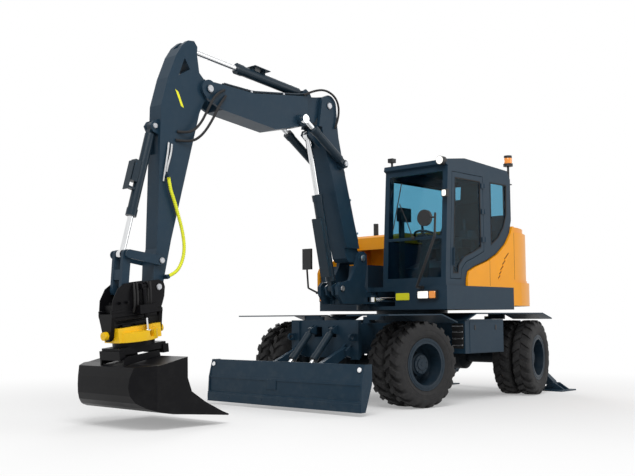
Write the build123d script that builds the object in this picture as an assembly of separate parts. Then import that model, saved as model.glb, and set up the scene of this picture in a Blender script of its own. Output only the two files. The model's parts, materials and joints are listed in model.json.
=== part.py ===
from build123d import *
from math import atan2, cos, degrees, hypot, radians, sin, tan
import os

# A wheeled excavator of the 10 tonne class: all-wheel steering, dozer blade in front,
# stabilisers behind, swing boom in two sections, tiltrotator and grading bucket.
# Millimetres, +Z up, the front of the machine faces -Y and its left (cab) side +X.
# Everything is placed from the ground point midway between the axles, and moved at the
# end so that the origin is the middle of the ground under the whole machine.

# ---- driving dimensions: undercarriage
wheelbase = 2350
axle_y = wheelbase / 2
tyre_r = 492.5            # to the tips of the lugs
lug_count = 21            # lugs in each of the two staggered rows of a tyre
lug_depth = 27
lug_share = 0.60          # of the pitch that a lug takes
outer_tyre_x = 1085       # middle of the outer tyre of a twin
twin_pitch = 268
kingpin_x = 812
steer_front = -7.9        # how far each axle is steered as it stands, about +Z
steer_rear = 13.1
frame_half = 390          # half the width of the chassis frame
frame_top = 960
frame_bottom = 600
swing_y = 60              # swing axis behind the middle of the wheelbase
blade_half = 1221
blade_pin = (-1700, 640)  # (y, z) of the blade arms' hinge
blade_lug = (-1700, 880)  # (y, z) of the blade cylinders' upper pin
blade_eye = (-2240, 330)  # (y, z) of their lower pin
leg_pin = (330, 620)      # (x, z) of a stabiliser's hinge
leg_lug = (250, 940)      # (x, z) of its cylinder's upper pin
leg_eye = (720, 340)      # (x, z) of its cylinder's lower pin
leg_y = 2060

front_eye_y = -1730       # lashing eyes on the front wall and behind the rear box
rear_eye_y = 2225
eye_z = 800
eye_half = 12.5           # half their thickness
eye_hole_r = 25

# ---- driving dimensions: upper structure
deck_bottom = 1120
deck_top = 1165
skirt_top = 1400
upper_half = 1225
front_y = -870            # front face under the cab
right_front_y = -500      # front face on the other side of the boom
tail_r = 1216             # the hood's round tail, about (0, tail_y)
tail_y = 595
weight_r = 1232           # the counterweight's round tail, about (0, weight_y)
weight_y = 640
hood_top = 2190
cab_x0, cab_x1 = 255, 1200
cab_rear_y = 610
post_pin = (0, -900)      # (x, y) of the boom swing axis
swing_eye = (205, -1000, 1247)
swing_lug = (560, -150, 1247)

# ---- driving dimensions: working arm, as (y, z) in the boom's plane
foot = (-1135, 1755)
lift_foot = (-1515, 1375)
lift_head = (-1925, 3190)
knee = (-1710, 3560)
adjust_base = (-1518, 2869)
adjust_eye = (-2195, 3318)
arm_base = (-2015, 3668)
arm_pin = (-3560, 3440)
arm_eye = (-3763, 3855)
tip = (-4180, 1340)
rocker_pin = (-4165, 1600)
rocker_eye = (-4545, 1650)
bucket_base = (-4205, 2960)
tool_pin = (-4570, 1295)
tilt_pitch = 7            # the tool's lean: its back sits lower than its front edge
tilt_axis_z = 900
rotor_y = -4405
boom_half = 150
arm_half = 95
tilt_arm = 165            # tilt cylinders' lower pins from the tilt axis
tilt_head = 164           # and their upper pins
tilt_rise = 440           # height of the upper pins above the tilt axis
tilt_y = 60


# ---- small helpers
def block(x0, x1, y0, y1, z0, z1):
    return Pos((x0 + x1) / 2, (y0 + y1) / 2, (z0 + z1) / 2) * Box(x1 - x0, y1 - y0, z1 - z0)


def side_plate(points, x0, x1):
    """Outline of (y, z) points, from x0 to x1."""
    face = make_face(Polyline(*[(y, z) for y, z in points], close=True))
    return extrude(Plane(origin=(x0, 0, 0), x_dir=(0, 1, 0), z_dir=(1, 0, 0)) * face, x1 - x0)


def deck_plate(points, z0, z1):
    """Outline of (x, y) points, from z0 to z1."""
    face = make_face(Polyline(*points, close=True))
    return extrude(Plane.XY.offset(z0) * face, z1 - z0)


def front_plate(points, y0, y1):
    """Outline of (x, z) points, from y0 to y1."""
    face = make_face(Polyline(*points, close=True))
    return extrude(Plane(origin=(0, y1, 0), x_dir=(1, 0, 0), z_dir=(0, -1, 0)) * face, y1 - y0)


def bar(start, end, radius):
    """Round bar between two points."""
    a = Vector(*start)
    b = Vector(*end)
    return Plane(origin=(a + b) / 2, z_dir=b - a) * Cylinder(radius, (b - a).length)


def bar_x(at, radius, x0, x1):
    """Round bar along X through the (y, z) point."""
    return bar((x0, at[0], at[1]), (x1, at[0], at[1]), radius)


def at_yz(point):
    return 0, point[0], point[1]


def both_sides(solid):
    return [solid, mirror(solid, about=Plane.YZ)]


def ring_x(at, outer, inner, x0, x1):
    return bar_x(at, outer, x0, x1) - bar_x(at, inner, x0 - 1, x1 + 1)


def turned(profile, axis_y=0, axis_z=0):
    """Body turned about an axis along X, from (x, radius) points."""
    face = make_face(Polyline(*[(x, r) for x, r in profile], close=True))
    return Pos(0, axis_y, axis_z) * revolve(Plane.XZ * face, Axis.X)


def ram_place(name, mirrored=False):
    """A cylinder's own frame at its base pin, Z along it, and its length."""
    base, eye, pin_dir = [Vector(*values) for values in cylinders[name][:3]]
    if mirrored:
        base, eye = Vector(-base.X, base.Y, base.Z), Vector(-eye.X, eye.Y, eye.Z)
    return Plane(origin=base, x_dir=pin_dir, z_dir=eye - base), (eye - base).length


def ram(name, mirrored=False):
    """A cylinder of the table: (barrel, rod). The rod slides with 0.4 mm all round it."""
    bore_r, rod_r, barrel_len, piston_at, width, pin_r = cylinders[name][3:]
    place, length = ram_place(name, mirrored)
    wall_r = 1.18 * bore_r
    eye_r = 1.75 * pin_r
    gland = 0.5 * bore_r + 16
    piston = 0.4 * bore_r + 12
    neck = 1.9 * eye_r
    floor = neck + 0.25 * bore_r + 3
    cross = Rot(0, 90, 0)
    barrel = Pos(0, 0, (barrel_len + neck) / 2) * Cylinder(wall_r, barrel_len - neck)
    barrel += cross * Cylinder(eye_r, width)
    barrel += Pos(0, 0, neck / 2 + 1) * Box(width, 1.3 * eye_r, neck + 2)
    barrel += Pos(0, 0, barrel_len - gland) * Cylinder(1.32 * bore_r, 2 * gland)
    barrel -= Pos(0, 0, (barrel_len - gland + floor) / 2) * Cylinder(bore_r, barrel_len - gland - floor)
    barrel -= Pos(0, 0, barrel_len) * Cylinder(rod_r + 0.4, 2 * gland + 4)
    barrel -= cross * Cylinder(pin_r + 0.05, width + 2)
    rod = Pos(0, 0, (length + piston_at) / 2) * Cylinder(rod_r, length - piston_at)
    rod += Pos(0, 0, piston_at + piston / 2) * Cylinder(bore_r - 0.4, piston)
    rod += Pos(0, 0, length) * cross * Cylinder(eye_r, width)
    return place * barrel, place * rod


def lift_guard():
    """Plate over the lift cylinder's front, on two brackets."""
    guard = block(-72, 72, -86, -78, 160, 870)
    for x0, x1 in ((-72, -64), (64, 72)):
        guard += block(x0, x1, -86, -40, 160, 870)
    for z in (200, 800):
        guard += block(-30, 30, -80, -53, z, z + 40)
    return ram_place("lift")[0] * guard


def arm_cylinder_guard():
    guard = block(-70, 90, 78, 86, 620, 860)
    guard += block(-25, 25, 50, 80, 640, 680) + block(-25, 25, 50, 80, 800, 840)
    return ram_place("arm")[0] * guard


def load_valve():
    """Valve block on the bucket cylinder's front and the plate that covers it."""
    valve = block(-40, 40, 44, 114, 400, 620)
    valve += block(-45, 45, 128, 136, 420, 720)
    for z in (440, 580):
        valve += block(-20, 20, 110, 130, z, z + 30)
    valve += block(-30, 30, 44, 132, 680, 700)
    return ram_place("bucket")[0] * valve


def at_x(x, point):
    return x, point[0], point[1]


along_x, along_y, along_z = (1, 0, 0), (0, 1, 0), (0, 0, 1)
tool_axis = (0, cos(radians(tilt_pitch)), sin(radians(tilt_pitch)))


def in_tool(x, y, z):
    """A point given about the tilt axis, in the tool's leaning frame."""
    c, s = tool_axis[1], tool_axis[2]
    return x, rotor_y + y * c - z * s, tilt_axis_z + y * s + z * c


# base pin, rod's pin, pin direction, bore and rod radius, barrel length, piston's start, eye width, pin radius
cylinders = {
    "blade": (at_x(170, blade_lug), at_x(170, blade_eye), along_x, 36, 24, 470, 200, 32, 20),
    "leg": ((leg_lug[0], leg_y, leg_lug[1]), (leg_eye[0], leg_y, leg_eye[1]), along_y, 34, 22, 430, 345, 50, 20),
    "swing": (swing_lug, swing_eye, along_z, 45, 27, 560, 272, 54, 25),
    "lift": (at_x(0, lift_foot), at_x(0, lift_head), along_x, 50, 32, 1150, 640, 62, 30),
    "adjust": (at_x(212, adjust_base), at_x(212, adjust_eye), along_x, 42, 28, 646, 165, 50, 28),
    "arm": (at_x(0, arm_base), at_x(0, arm_eye), along_x, 48, 31, 1060, 660, 62, 28),
    "bucket": (at_x(0, bucket_base), at_x(0, rocker_eye), along_x, 42, 28, 957, 450, 60, 26),
    "tilt": (in_tool(tilt_head, tilt_y, tilt_rise), in_tool(tilt_arm, tilt_y, 0), tool_axis, 18, 11, 310, 155, 44, 11),
}


# ---- undercarriage
def chassis_frame():
    webs = both_sides(block(330, frame_half, -1612, 1960, frame_bottom, frame_top))
    frame = webs[0] + webs[1]
    frame += block(-frame_half, frame_half, -1612, 1960, frame_top - 30, frame_top)
    frame += block(-frame_half, frame_half, -700, 700, frame_bottom, frame_bottom + 25)
    for y in (-1000, 1350):
        frame += block(-frame_half, frame_half, y, y + 30, frame_bottom, frame_top)
    turret = Pos(0, swing_y, (frame_top + 1056) / 2) * (Cylinder(490, 1056 - frame_top) - Cylinder(330, 200))
    frame += turret
    frame += front_wall()
    frame += rear_box()
    for side in (-1, 1):
        for x, y, z, out in ((side * 490, front_eye_y, eye_z, -1), (side * 150, rear_eye_y, eye_z, 1)):
            root = y - out * 75
            frame += block(x - eye_half, x + eye_half, min(y, root), max(y, root), z - 42, z + 42)
            frame += bar_x((y, z), 42, x - eye_half, x + eye_half)
            frame -= bar_x((y, z), eye_hole_r, x - 40, x + 40)
    return frame


def front_wall():
    wall = block(-540, 540, -1640, -1612, 560, 1000)
    for side in (-1, 1):
        wall -= Pos(side * 112, -1626, 860) * Box(124, 60, 120)
        wall += block(min(side * 412, side * 540), max(side * 412, side * 540), -1662, -1640, 545, 1000)
        for x0, x1 in ((304, 334), (406, 436)):
            cheek = side_plate([(-1640, 560), (-1740, 590), (-1750, 650), (-1640, 730)], x0, x1)
            wall += cheek if side > 0 else mirror(cheek, about=Plane.YZ)
        wall += bar_x(blade_pin, 22, min(side * 304, side * 436), max(side * 304, side * 436))
        for x0, x1 in ((138, 154), (186, 202)):
            lug = side_plate([(-1640, 830), (-1725, 850), (-1735, 900), (-1640, 940)], x0, x1)
            wall += lug if side > 0 else mirror(lug, about=Plane.YZ)
        wall += bar_x(blade_lug, 20, min(side * 138, side * 202), max(side * 138, side * 202))
    return wall


def rear_box():
    outline = [(-420, 560), (-420, 700), (-380, 980), (380, 980), (420, 700), (420, 560)]
    box = front_plate(outline, 1960, 1985) + front_plate(outline, 2135, 2160)
    box += block(-200, 200, 1985, 2135, 560, 980)
    for side in (-1, 1):
        for (x, z), radius in ((leg_pin, 22), (leg_lug, 20)):
            box += bar((side * x, 1960, z), (side * x, 2160, z), radius)
    return box


def axle(y):
    z = tyre_r
    body = turned([(-150, 0), (-150, 110), (-80, 180), (80, 180), (150, 110), (150, 0)], y, z)
    body += bar_x((y, z), 85, -640, 640)
    body += block(-60, 60, y - 60, y + 60, z, frame_bottom)
    for side in (-1, 1):
        x0, x1 = sorted((side * 330, side * frame_half))
        body += block(x0, x1, y - 90, y + 90, z, frame_bottom)
        x0, x1 = sorted((side * 615, side * 655))
        body += block(x0, x1, y - 60, y + 60, z - 186, z + 186)
        for low, high in ((-186, -150), (150, 186)):
            x0, x1 = sorted((side * 650, side * kingpin_x))
            arm = block(x0, x1, y - 46, y + 46, z + low, z + high)
            arm += Pos(side * kingpin_x, y, z + (low + high) / 2) * Cylinder(56, high - low)
            body += arm
        body -= Pos(side * kingpin_x, y, z) * Cylinder(28.05, 400)
    return body


def knuckle():
    """Left knuckle about its kingpin, wheel straight."""
    body = Cylinder(92, 280) + Cylinder(28, 376)
    body += bar((40, 0, 0), (108, 0, 0), 116)
    body += bar((108, 0, 0), (214, 0, 0), 62)
    return body


def wheel():
    """Twin rims on one hub, about the kingpin."""
    outer = outer_tyre_x - kingpin_x
    inner = outer - twin_pitch
    disc = outer - 0.5 * twin_pitch
    body = turned([(disc - 12, 100), (disc - 12, 205), (inner + 76, 244), (inner - 92, 244), (inner - 92, 296),
                   (inner - 100, 296), (inner - 100, 236), (inner + 74, 236), (disc - 24, 200), (disc - 24, 100)])
    body += turned([(disc - 12, 100), (disc - 12, 214), (outer - 76, 244), (outer + 92, 244), (outer + 92, 296),
                    (outer + 100, 296), (outer + 100, 236), (outer - 74, 236), (disc + 4, 206), (disc + 4, 100)])
    for at in (inner, outer):
        body += bar((at - 100, 0, 0), (at - 92, 0, 0), 296) - bar((at - 101, 0, 0), (at - 91, 0, 0), 240)
        body += bar((at + 92, 0, 0), (at + 100, 0, 0), 296) - bar((at + 91, 0, 0), (at + 101, 0, 0), 240)
        body += bar((at - 92, 0, 0), (at + 92, 0, 0), 256) - bar((at - 93, 0, 0), (at + 93, 0, 0), 240)
    hub = turned([(127, 62.05), (127, 150), (160, 150), (170, 128), (262, 128), (276, 110), (292, 104), (292, 0),
                  (218, 0), (218, 62.05)])
    return body + hub


def lug_ring(turn):
    """Outline of a tyre's row of lugs as (radius, angle) corners, four to a lug."""
    pitch = 360 / lug_count
    points = []
    for i in range(lug_count):
        start = turn + i * pitch
        for radius, part in ((tyre_r - lug_depth, 0), (tyre_r, 0.06), (tyre_r, lug_share - 0.06),
                             (tyre_r - lug_depth, lug_share)):
            angle = radians(start + part * pitch)
            points.append((radius * cos(angle), radius * sin(angle)))
    return points


def tyres():
    """The twin tyres about the kingpin: two rows of lugs, half a pitch apart, a corner of each row at the ground."""
    outer = outer_tyre_x - kingpin_x
    pitch = 360 / lug_count
    rings = []
    for at in (outer - twin_pitch, outer):
        ring = None
        for x0, x1, turn in ((at - 118, at, 0), (at, at + 118, pitch / 2)):
            row = side_plate(lug_ring(270 - 0.06 * pitch + turn), x0, x1)
            ring = row if ring is None else ring + row
        ring -= side_plate(circle_points(258, 12), at - 92, at + 92)
        for x0, x1 in ((at - 120, at - 91), (at + 91, at + 120)):
            ring -= side_plate(circle_points(304, 12), x0, x1)
        rings.append(ring)
    return rings


def circle_points(radius, sides):
    """Corners of a polygon drawn round the circle of this radius."""
    reach = radius / cos(radians(180 / sides))
    return [(reach * cos(radians(360 * i / sides)), reach * sin(radians(360 * i / sides))) for i in range(sides)]


def corner(solid, side, y, steer):
    """Puts a left-hand corner part in place; side -1 is the right of the machine."""
    place = Pos(side * kingpin_x, y, tyre_r) * Rot(0, 0, steer)
    return place * (solid if side > 0 else mirror(solid, about=Plane.YZ))


def fenders_and_boxes():
    """Front and rear fenders and the step box of one side, joined."""
    front = [(-1936, 1046), (-945, 1052), (-640, 960), (-630, 972), (-940, 1066), (-1936, 1060)]
    rear = [(-430, 985), (-222, 1066), (1345, 1069), (1590, 998), (1594, 1012), (1350, 1083), (-226, 1080), (-440, 998)]
    side = side_plate(front, 600, 1205)
    side += side_plate(rear, 600, 1205)
    side += block(640, 1165, -425, 425, 590, 1000)
    side += block(frame_half, 640, -60, 60, 700, 900)
    side += block(frame_half, 640, -1330, -1290, 1000, 1050)
    side += block(frame_half, 640, 1280, 1320, 1000, 1072)
    for y0, y1 in ((-1330, -1290), (1280, 1320)):
        side += block(frame_half - 60, frame_half + 30, y0, y1, frame_top, 1040)
    return side


def dozer_blade():
    board = side_plate([(-2425, 40), (-2425, 150), (-2405, 160), (-2400, 330), (-2355, 535), (-2325, 535),
                        (-2375, 330), (-2380, 150), (-2400, 40)], -blade_half, blade_half)
    board += block(-blade_half + 40, blade_half - 40, -2390, -2300, 170, 200)
    board += block(-blade_half + 40, blade_half - 40, -2370, -2280, 420, 450)
    for side in (-1, 1):
        x0, x1 = sorted((side * (blade_half - 22), side * blade_half))
        board += side_plate([(-2425, 40), (-2410, 330), (-2355, 535), (-2240, 535), (-2240, 330), (-2350, 40)], x0, x1)
        x0, x1 = sorted((side * 342, side * 398))
        board += side_plate([(-2380, 240), (-2300, 480), (-2200, 490), (-1720, 686), (-1660, 660), (-1680, 600),
                             (-2220, 330), (-2320, 240)], x0, x1)
        board += bar_x(blade_pin, 48, x0, x1)
        for x0, x1 in ((128, 144), (196, 212)):
            lug = side_plate([(-2380, 230), (-2370, 430), (-2225, 370), (-2200, 310), (-2300, 230)], x0, x1)
            board += lug if side > 0 else mirror(lug, about=Plane.YZ)
    board -= bar_x(blade_pin, 22.05, -500, 500)
    return board


def stabiliser():
    """Left stabiliser with its pad on the ground."""
    px, pz = leg_pin
    ex, ez = leg_eye
    leg = front_plate([(285, 590), (300, 655), (370, 640), (960, 130), (970, 70), (880, 60)], leg_y - 52, leg_y + 52)
    leg += bar((px, leg_y - 68, pz), (px, leg_y + 68, pz), 50)
    for y0, y1 in ((leg_y - 52, leg_y - 32), (leg_y + 32, leg_y + 52)):
        leg += front_plate([(600, 380), (ex - 40, ez + 20), (ex, ez + 40), (ex + 40, ez), (860, 200), (700, 200)], y0, y1)
        leg += bar((ex, y0, ez), (ex, y1, ez), 40)
    leg -= bar((ex, leg_y - 32, ez), (ex, leg_y + 32, ez), 70)
    leg -= bar((ex, leg_y, ez), (ex - 200, leg_y, ez + 250), 30)
    leg += block(780, 1180, leg_y - 200, leg_y + 200, 0, 18)
    for y0, y1 in ((leg_y - 80, leg_y - 56), (leg_y + 56, leg_y + 80)):
        leg += front_plate([(800, 18), (930, 110), (1000, 110), (1150, 18)], y0, y1)
    leg += bar((965, leg_y - 90, 75), (965, leg_y + 90, 75), 25)
    leg -= bar((px, leg_y - 80, pz), (px, leg_y + 80, pz), 22.05)
    return leg


# ---- upper structure
def platform():
    deck = deck_plate([(-upper_half, 600), (-upper_half, -420), (-1145, right_front_y), (-230, right_front_y),
                       (-160, -860), (-105, -900), (105, -900), (170, front_y), (upper_half, front_y),
                       (upper_half, 600)], deck_bottom, deck_top)
    deck += Pos(0, swing_y, (1062 + deck_bottom) / 2) * (Cylinder(470, deck_bottom - 1062) - Cylinder(330, 100))
    deck += block(upper_half - 35, upper_half, front_y, 600, deck_top, skirt_top)
    deck += block(455, upper_half, front_y, front_y + 35, deck_top, skirt_top)
    deck += block(96, 455, front_y, front_y + 35, 1345, skirt_top)
    deck += block(-upper_half, 35 - upper_half, -420, 600, deck_top, skirt_top)
    deck += block(-1145, -230, right_front_y, right_front_y + 35, deck_top, skirt_top)
    deck += deck_plate([(-upper_half, -420), (-1145, right_front_y), (-1145, right_front_y + 40), (35 - upper_half, -400)],
                       deck_top, skirt_top)
    deck += block(-150, -115, -760, 600, deck_top, skirt_top)
    deck += block(60, 96, -760, -250, deck_top, skirt_top)
    deck += block(115, 150, -260, 600, deck_top, skirt_top)
    deck += block(-upper_half, upper_half, 575, 600, deck_top, skirt_top)
    deck += block(-1170, -330, -450, 290, skirt_top, 1720)
    deck += block(-1170, -115, -450, 290, skirt_top - 20, skirt_top)
    x, y = post_pin
    for z0, z1 in ((deck_bottom, 1183), (1345, skirt_top)):
        deck += Pos(x, y, (z0 + z1) / 2) * Cylinder(105, z1 - z0)
        deck += block(-105, 105, y, -755, z0, z1)
    deck -= Pos(x, y, 1260) * Cylinder(45.05, 400)
    x, y, z = swing_lug
    for z0, z1 in ((deck_top, z - 32), (z + 32, z + 75)):
        deck += block(x - 60, x + 60, y - 55, y + 110, z0, z1)
    deck += block(x - 60, x + 60, y + 60, y + 110, deck_top, z + 75)
    deck += bar((x, y, deck_top), (x, y, z + 75), 25)
    return deck


def tail(radius, centre_y, half, y0, z0, z1):
    """Slab with the round tail of the machine behind y0."""
    slab = Pos(0, centre_y, (z0 + z1) / 2) * Cylinder(radius, z1 - z0)
    return slab & block(-half, half, y0, centre_y + radius + 10, z0, z1)


def counterweight():
    weight = tail(weight_r, weight_y, 1222, 605, deck_bottom + 50, 1470)
    weight += tail(weight_r - 20, weight_y - 18, 1214, 605, 1470, 1500)
    weight -= block(-160, 160, 600, 700, deck_bottom, skirt_top)
    for side in (-1, 1):
        weight -= Pos(side * 965, 1392, 1330) * Rot(0, 0, -side * 52) * Box(230, 60, 110)
    return weight


cab_foot = [(612, 2270), (560, 2110), (440, 1965), (240, 1825), (20, 1730), (-250, 1650), (-400, 1590), (-440, 1500)]


def body_covers():
    shell = tail(tail_r, tail_y, 1222, 640, 1500, hood_top - 70)
    shell += tail(tail_r - 35, tail_y, 1195, 640, hood_top - 70, hood_top)
    shell -= tail(tail_r - 70, tail_y, 1146, 680, 1490, hood_top - 35)
    shell -= block(-700, 700, 820, 1340, hood_top - 60, hood_top + 10)
    shell -= tail(tail_r + 20, tail_y, 984, 1310, 1490, 1971) - tail(tail_r - 22, tail_y, 1000, 1300, 1480, 1980)
    left = [(640, hood_top), (600, hood_top)] + [(y + 8, z - 12) for y, z in cab_foot[1:]]
    left += [(-430, skirt_top), (640, skirt_top)]
    shell += side_plate(left, 1182, 1222)
    shell -= side_plate([(605, 1300), (605, 1500), (700, 1500), (700, 1300)], 1170, 1230)
    for i in range(5):
        y, z, run = 300 + 38 * i, 1500 + 62 * i, 230 - 34 * abs(i - 2)
        shell += side_plate([(y - 0.62 * run / 2, z + 46 - 0.5 * run / 2), (y - 0.62 * run / 2 + 14, z + 26 - 0.5 * run / 2),
                             (y + 0.62 * run / 2 + 14, z + 26 + 0.5 * run / 2), (y + 0.62 * run / 2, z + 46 + 0.5 * run / 2)],
                            1216, 1228)
    right = [(640, hood_top), (330, hood_top), (60, 1930), (-440, 1700), (-470, 1640), (-470, skirt_top), (600, skirt_top),
             (600, 1500), (640, 1500)]
    shell += side_plate(right, -1222, -1182)
    shell += side_plate([(680, hood_top), (330, hood_top), (300, 2160), (300, 1990), (340, 1990), (340, 2150),
                         (680, 2150)], -1182, -330)
    shell += side_plate([(680, hood_top), (300, hood_top), (300, skirt_top), (600, skirt_top), (600, 1500),
                         (680, 1500)], -330, -295)
    return shell


def engine_block():
    return block(-430, 430, 760, 1330, 1500, 2000)


def engine_hood():
    lid = block(-730, 730, 790, 1370, hood_top + 6, hood_top + 26)
    lid += block(-690, 690, 840, 1320, hood_top + 26, hood_top + 40)
    for x in (-600, 540):
        lid += bar((x, 780, hood_top + 20), (x + 60, 780, hood_top + 20), 12)
    return lid


cab_side = [(-850, 1400), (-850, 1560), (-772, 2830), (-812, 2852), (-800, 2905), (-420, 2955), (540, 2905), (612, 2800)]
cab_room = [(-803, 1445), (-803, 1570), (-724, 2806), (-420, 2895), (530, 2850), (567, 2770), (567, 2300), (520, 2140),
            (400, 2005), (200, 1875), (0, 1782), (-270, 1702), (-440, 1640), (-488, 1500), (-488, 1445)]
door_hole = [(-762, 1480), (-762, 1575), (-690, 2770), (-30, 2770), (-30, 1835), (-260, 1745), (-425, 1690), (-520, 1600),
             (-540, 1480)]
quarter_hole = [(130, 2720), (130, 1920), (300, 2020), (430, 2160), (500, 2330), (515, 2720)]
side_hole = [(-700, 1960), (-665, 2750), (500, 2750), (500, 2330), (330, 2060), (100, 1960)]


def cab_shell():
    outline = cab_side + cab_foot + [(-448, 1400)]
    shell = side_plate(outline, cab_x0, cab_x1) - side_plate(cab_room, cab_x0 + 45, cab_x1 - 45)
    shell -= block(cab_x0 + 70, cab_x1 - 70, -900, -700, 1500, 1962)
    shell -= block(cab_x0 + 70, cab_x1 - 70, -900, -690, 1996, 2770)
    shell -= side_plate(door_hole, cab_x1 - 60, cab_x1 + 10)
    shell -= side_plate(quarter_hole, cab_x1 - 60, cab_x1 + 10)
    shell -= side_plate(side_hole, cab_x0 - 10, cab_x0 + 60)
    shell -= block(cab_x0 + 90, cab_x1 - 90, 500, 700, 2340, 2780)
    return shell


def cab_glass():
    screen = [(-840, 1500), (-840, 1575), (-777, 2770), (-771, 2770), (-834, 1574), (-834, 1500)]
    pane = side_plate(screen, cab_x0 + 70, cab_x1 - 70)
    upper = pane & block(0, 1300, -900, -700, 1996, 2770)
    lower = pane & block(0, 1300, -900, -700, 1500, 1962)
    quarter = side_plate(quarter_hole, cab_x1 - 12, cab_x1 - 6)
    right = side_plate(side_hole, cab_x0 + 6, cab_x0 + 12)
    rear = block(cab_x0 + 90, cab_x1 - 90, 596, 602, 2340, 2780)
    return [upper, lower, quarter, right, rear]


door_edge = [(-755, 1487), (-755, 1575), (-684, 2763), (-37, 2763), (-37, 1840), (-263, 1752), (-430, 1697), (-526, 1606),
             (-546, 1487)]
door_pane = [(-700, 1545), (-700, 1578), (-632, 2705), (-92, 2705), (-92, 1880), (-285, 1805), (-462, 1745), (-578, 1640),
             (-592, 1545)]
door_hinge = (1216, -24)


def cab_door():
    door = side_plate(door_edge, cab_x1 - 40, cab_x1)
    door -= side_plate(door_pane, cab_x1 - 50, cab_x1 + 10)
    x, y = door_hinge
    for z in (1950, 2300, 2620):
        door += block(cab_x1, cab_x1 + 3, y - 62, y - 16, z, z + 60)
        door += block(cab_x1 + 2, x + 2, y - 62, y, z, z + 60)
        door += bar((x, y, z), (x, y, z + 60), 11)
    door += bar((cab_x1 + 14, -700, 1640), (cab_x1 + 14, -688, 1850), 9)
    for at in ((-698, 1650), (-690, 1840)):
        door += bar((cab_x1 - 5, at[0], at[1]), (cab_x1 + 14, at[0], at[1]), 8)
    return door


def door_glass():
    return side_plate(door_pane, cab_x1 - 12, cab_x1 - 6)


def cab_interior():
    """Seat on its pedestal, back with headrest, two consoles, column with its wheel, and monitor, as separate solids."""
    cushion = side_plate([(-150, 1741), (0, 1786), (190, 1875), (190, 1900), (-150, 1900)], 560, 900)
    cushion += block(480, 980, -190, 214, 1900, 2000)
    back = side_plate([(216, 1985), (330, 1985), (440, 2560), (350, 2570)], 490, 970)
    back += side_plate([(345, 2540), (436, 2540), (440, 2750), (370, 2755)], 600, 860)
    consoles = []
    for x0, x1 in ((350, 470), (990, 1110)):
        console = block(x0, x1, -260, 180, 1990, 2090)
        console += bar(((x0 + x1) / 2, -220, 2085), ((x0 + x1) / 2, -240, 2230), 16)
        console += side_plate([(-60, 1768), (0, 1786), (40, 1805), (40, 1995), (-60, 1995)], x0 + 30, x1 - 30)
        consoles.append(console)
    column = side_plate([(-740, 1445), (-620, 1445), (-540, 1980), (-600, 1995)], 690, 770)
    column += Plane(origin=(730, -555, 2010), z_dir=(0, 0.42, 0.9)) * (Torus(165, 14) + Cylinder(40, 24))
    column += Plane(origin=(730, -555, 2010), z_dir=(0, 0.42, 0.9)) * Box(330, 26, 12)
    monitor = block(345, 375, -640, -560, 1445, 2230)
    monitor += block(330, 400, -660, -450, 2230, 2400)
    return [cushion, back, *consoles, column, monitor]


exhaust = (-1000, 542)
air_intake = (900, 790)


def lamps_and_mirrors():
    parts = [block(820, 1100, front_y - 36, front_y, 1240, 1345)]
    parts.append(block(-1125, -915, right_front_y - 36, right_front_y, 1245, 1350))
    arm = bar((870, front_y - 36, 1385), (870, front_y - 110, 1385), 16) + block(840, 900, front_y - 30, front_y, 1365, 1400)
    arm += bar((870, front_y - 110, 1385), (1235, -1110, 1960), 16)
    arm += bar((1235, -1110, 1960), (1250, -1110, 2230), 13)
    arm += bar((1250, -1110, 2180), (1170, -1110, 2180), 10)
    arm += bar((1100, -1092, 2180), (1100, -1132, 2180), 95)
    parts.append(arm)
    arm = bar((-1180, right_front_y - 14, 1372), (-1310, -560, 1440), 13)
    arm += block(-1200, -1160, right_front_y - 25, right_front_y, 1355, 1392)
    arm += bar((-1310, -560, 1440), (-1320, -600, 1980), 13)
    arm += block(-1345, -1185, -640, -606, 1690, 1975)
    parts.append(arm)
    roof = side_plate(cab_side + cab_foot + [(-448, 1400)], cab_x0, cab_x1)
    parts.append(bar((1150, -868, 2885), (1150, -790, 2885), 52) - roof)
    lamp = block(1186, 1256, -890, -832, 2440, 2530) + block(1170, 1200, -850, -780, 2470, 2500)
    parts.append(lamp - roof)
    stand = block(302, 374, -790, -715, 2960, 3012) + bar((338, -750, 2890), (338, -750, 2970), 14)
    parts.append(stand - roof)
    beacon = block(1120, 1180, cab_rear_y + 2, 690, 2740, 2752) + block(1120, 1180, cab_rear_y + 2, 626, 2690, 2752)
    beacon += bar((1150, 655, 2745), (1150, 655, 2990), 15) + bar((1150, 655, 2985), (1150, 655, 3020), 62)
    beacon += bar((1150, 655, 3015), (1150, 655, 3125), 52)
    parts.append(beacon)
    x, y = exhaust
    parts.append(bar((x, y, hood_top), (x, y, 2382), 36) - bar((x, y, 2362), (x, y, 2390), 31))
    x, y = air_intake
    parts.append(bar((x, y, hood_top), (x, y, 2240), 55) + bar((x, y, 2225), (x, y, 2268), 88))
    return parts


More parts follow.
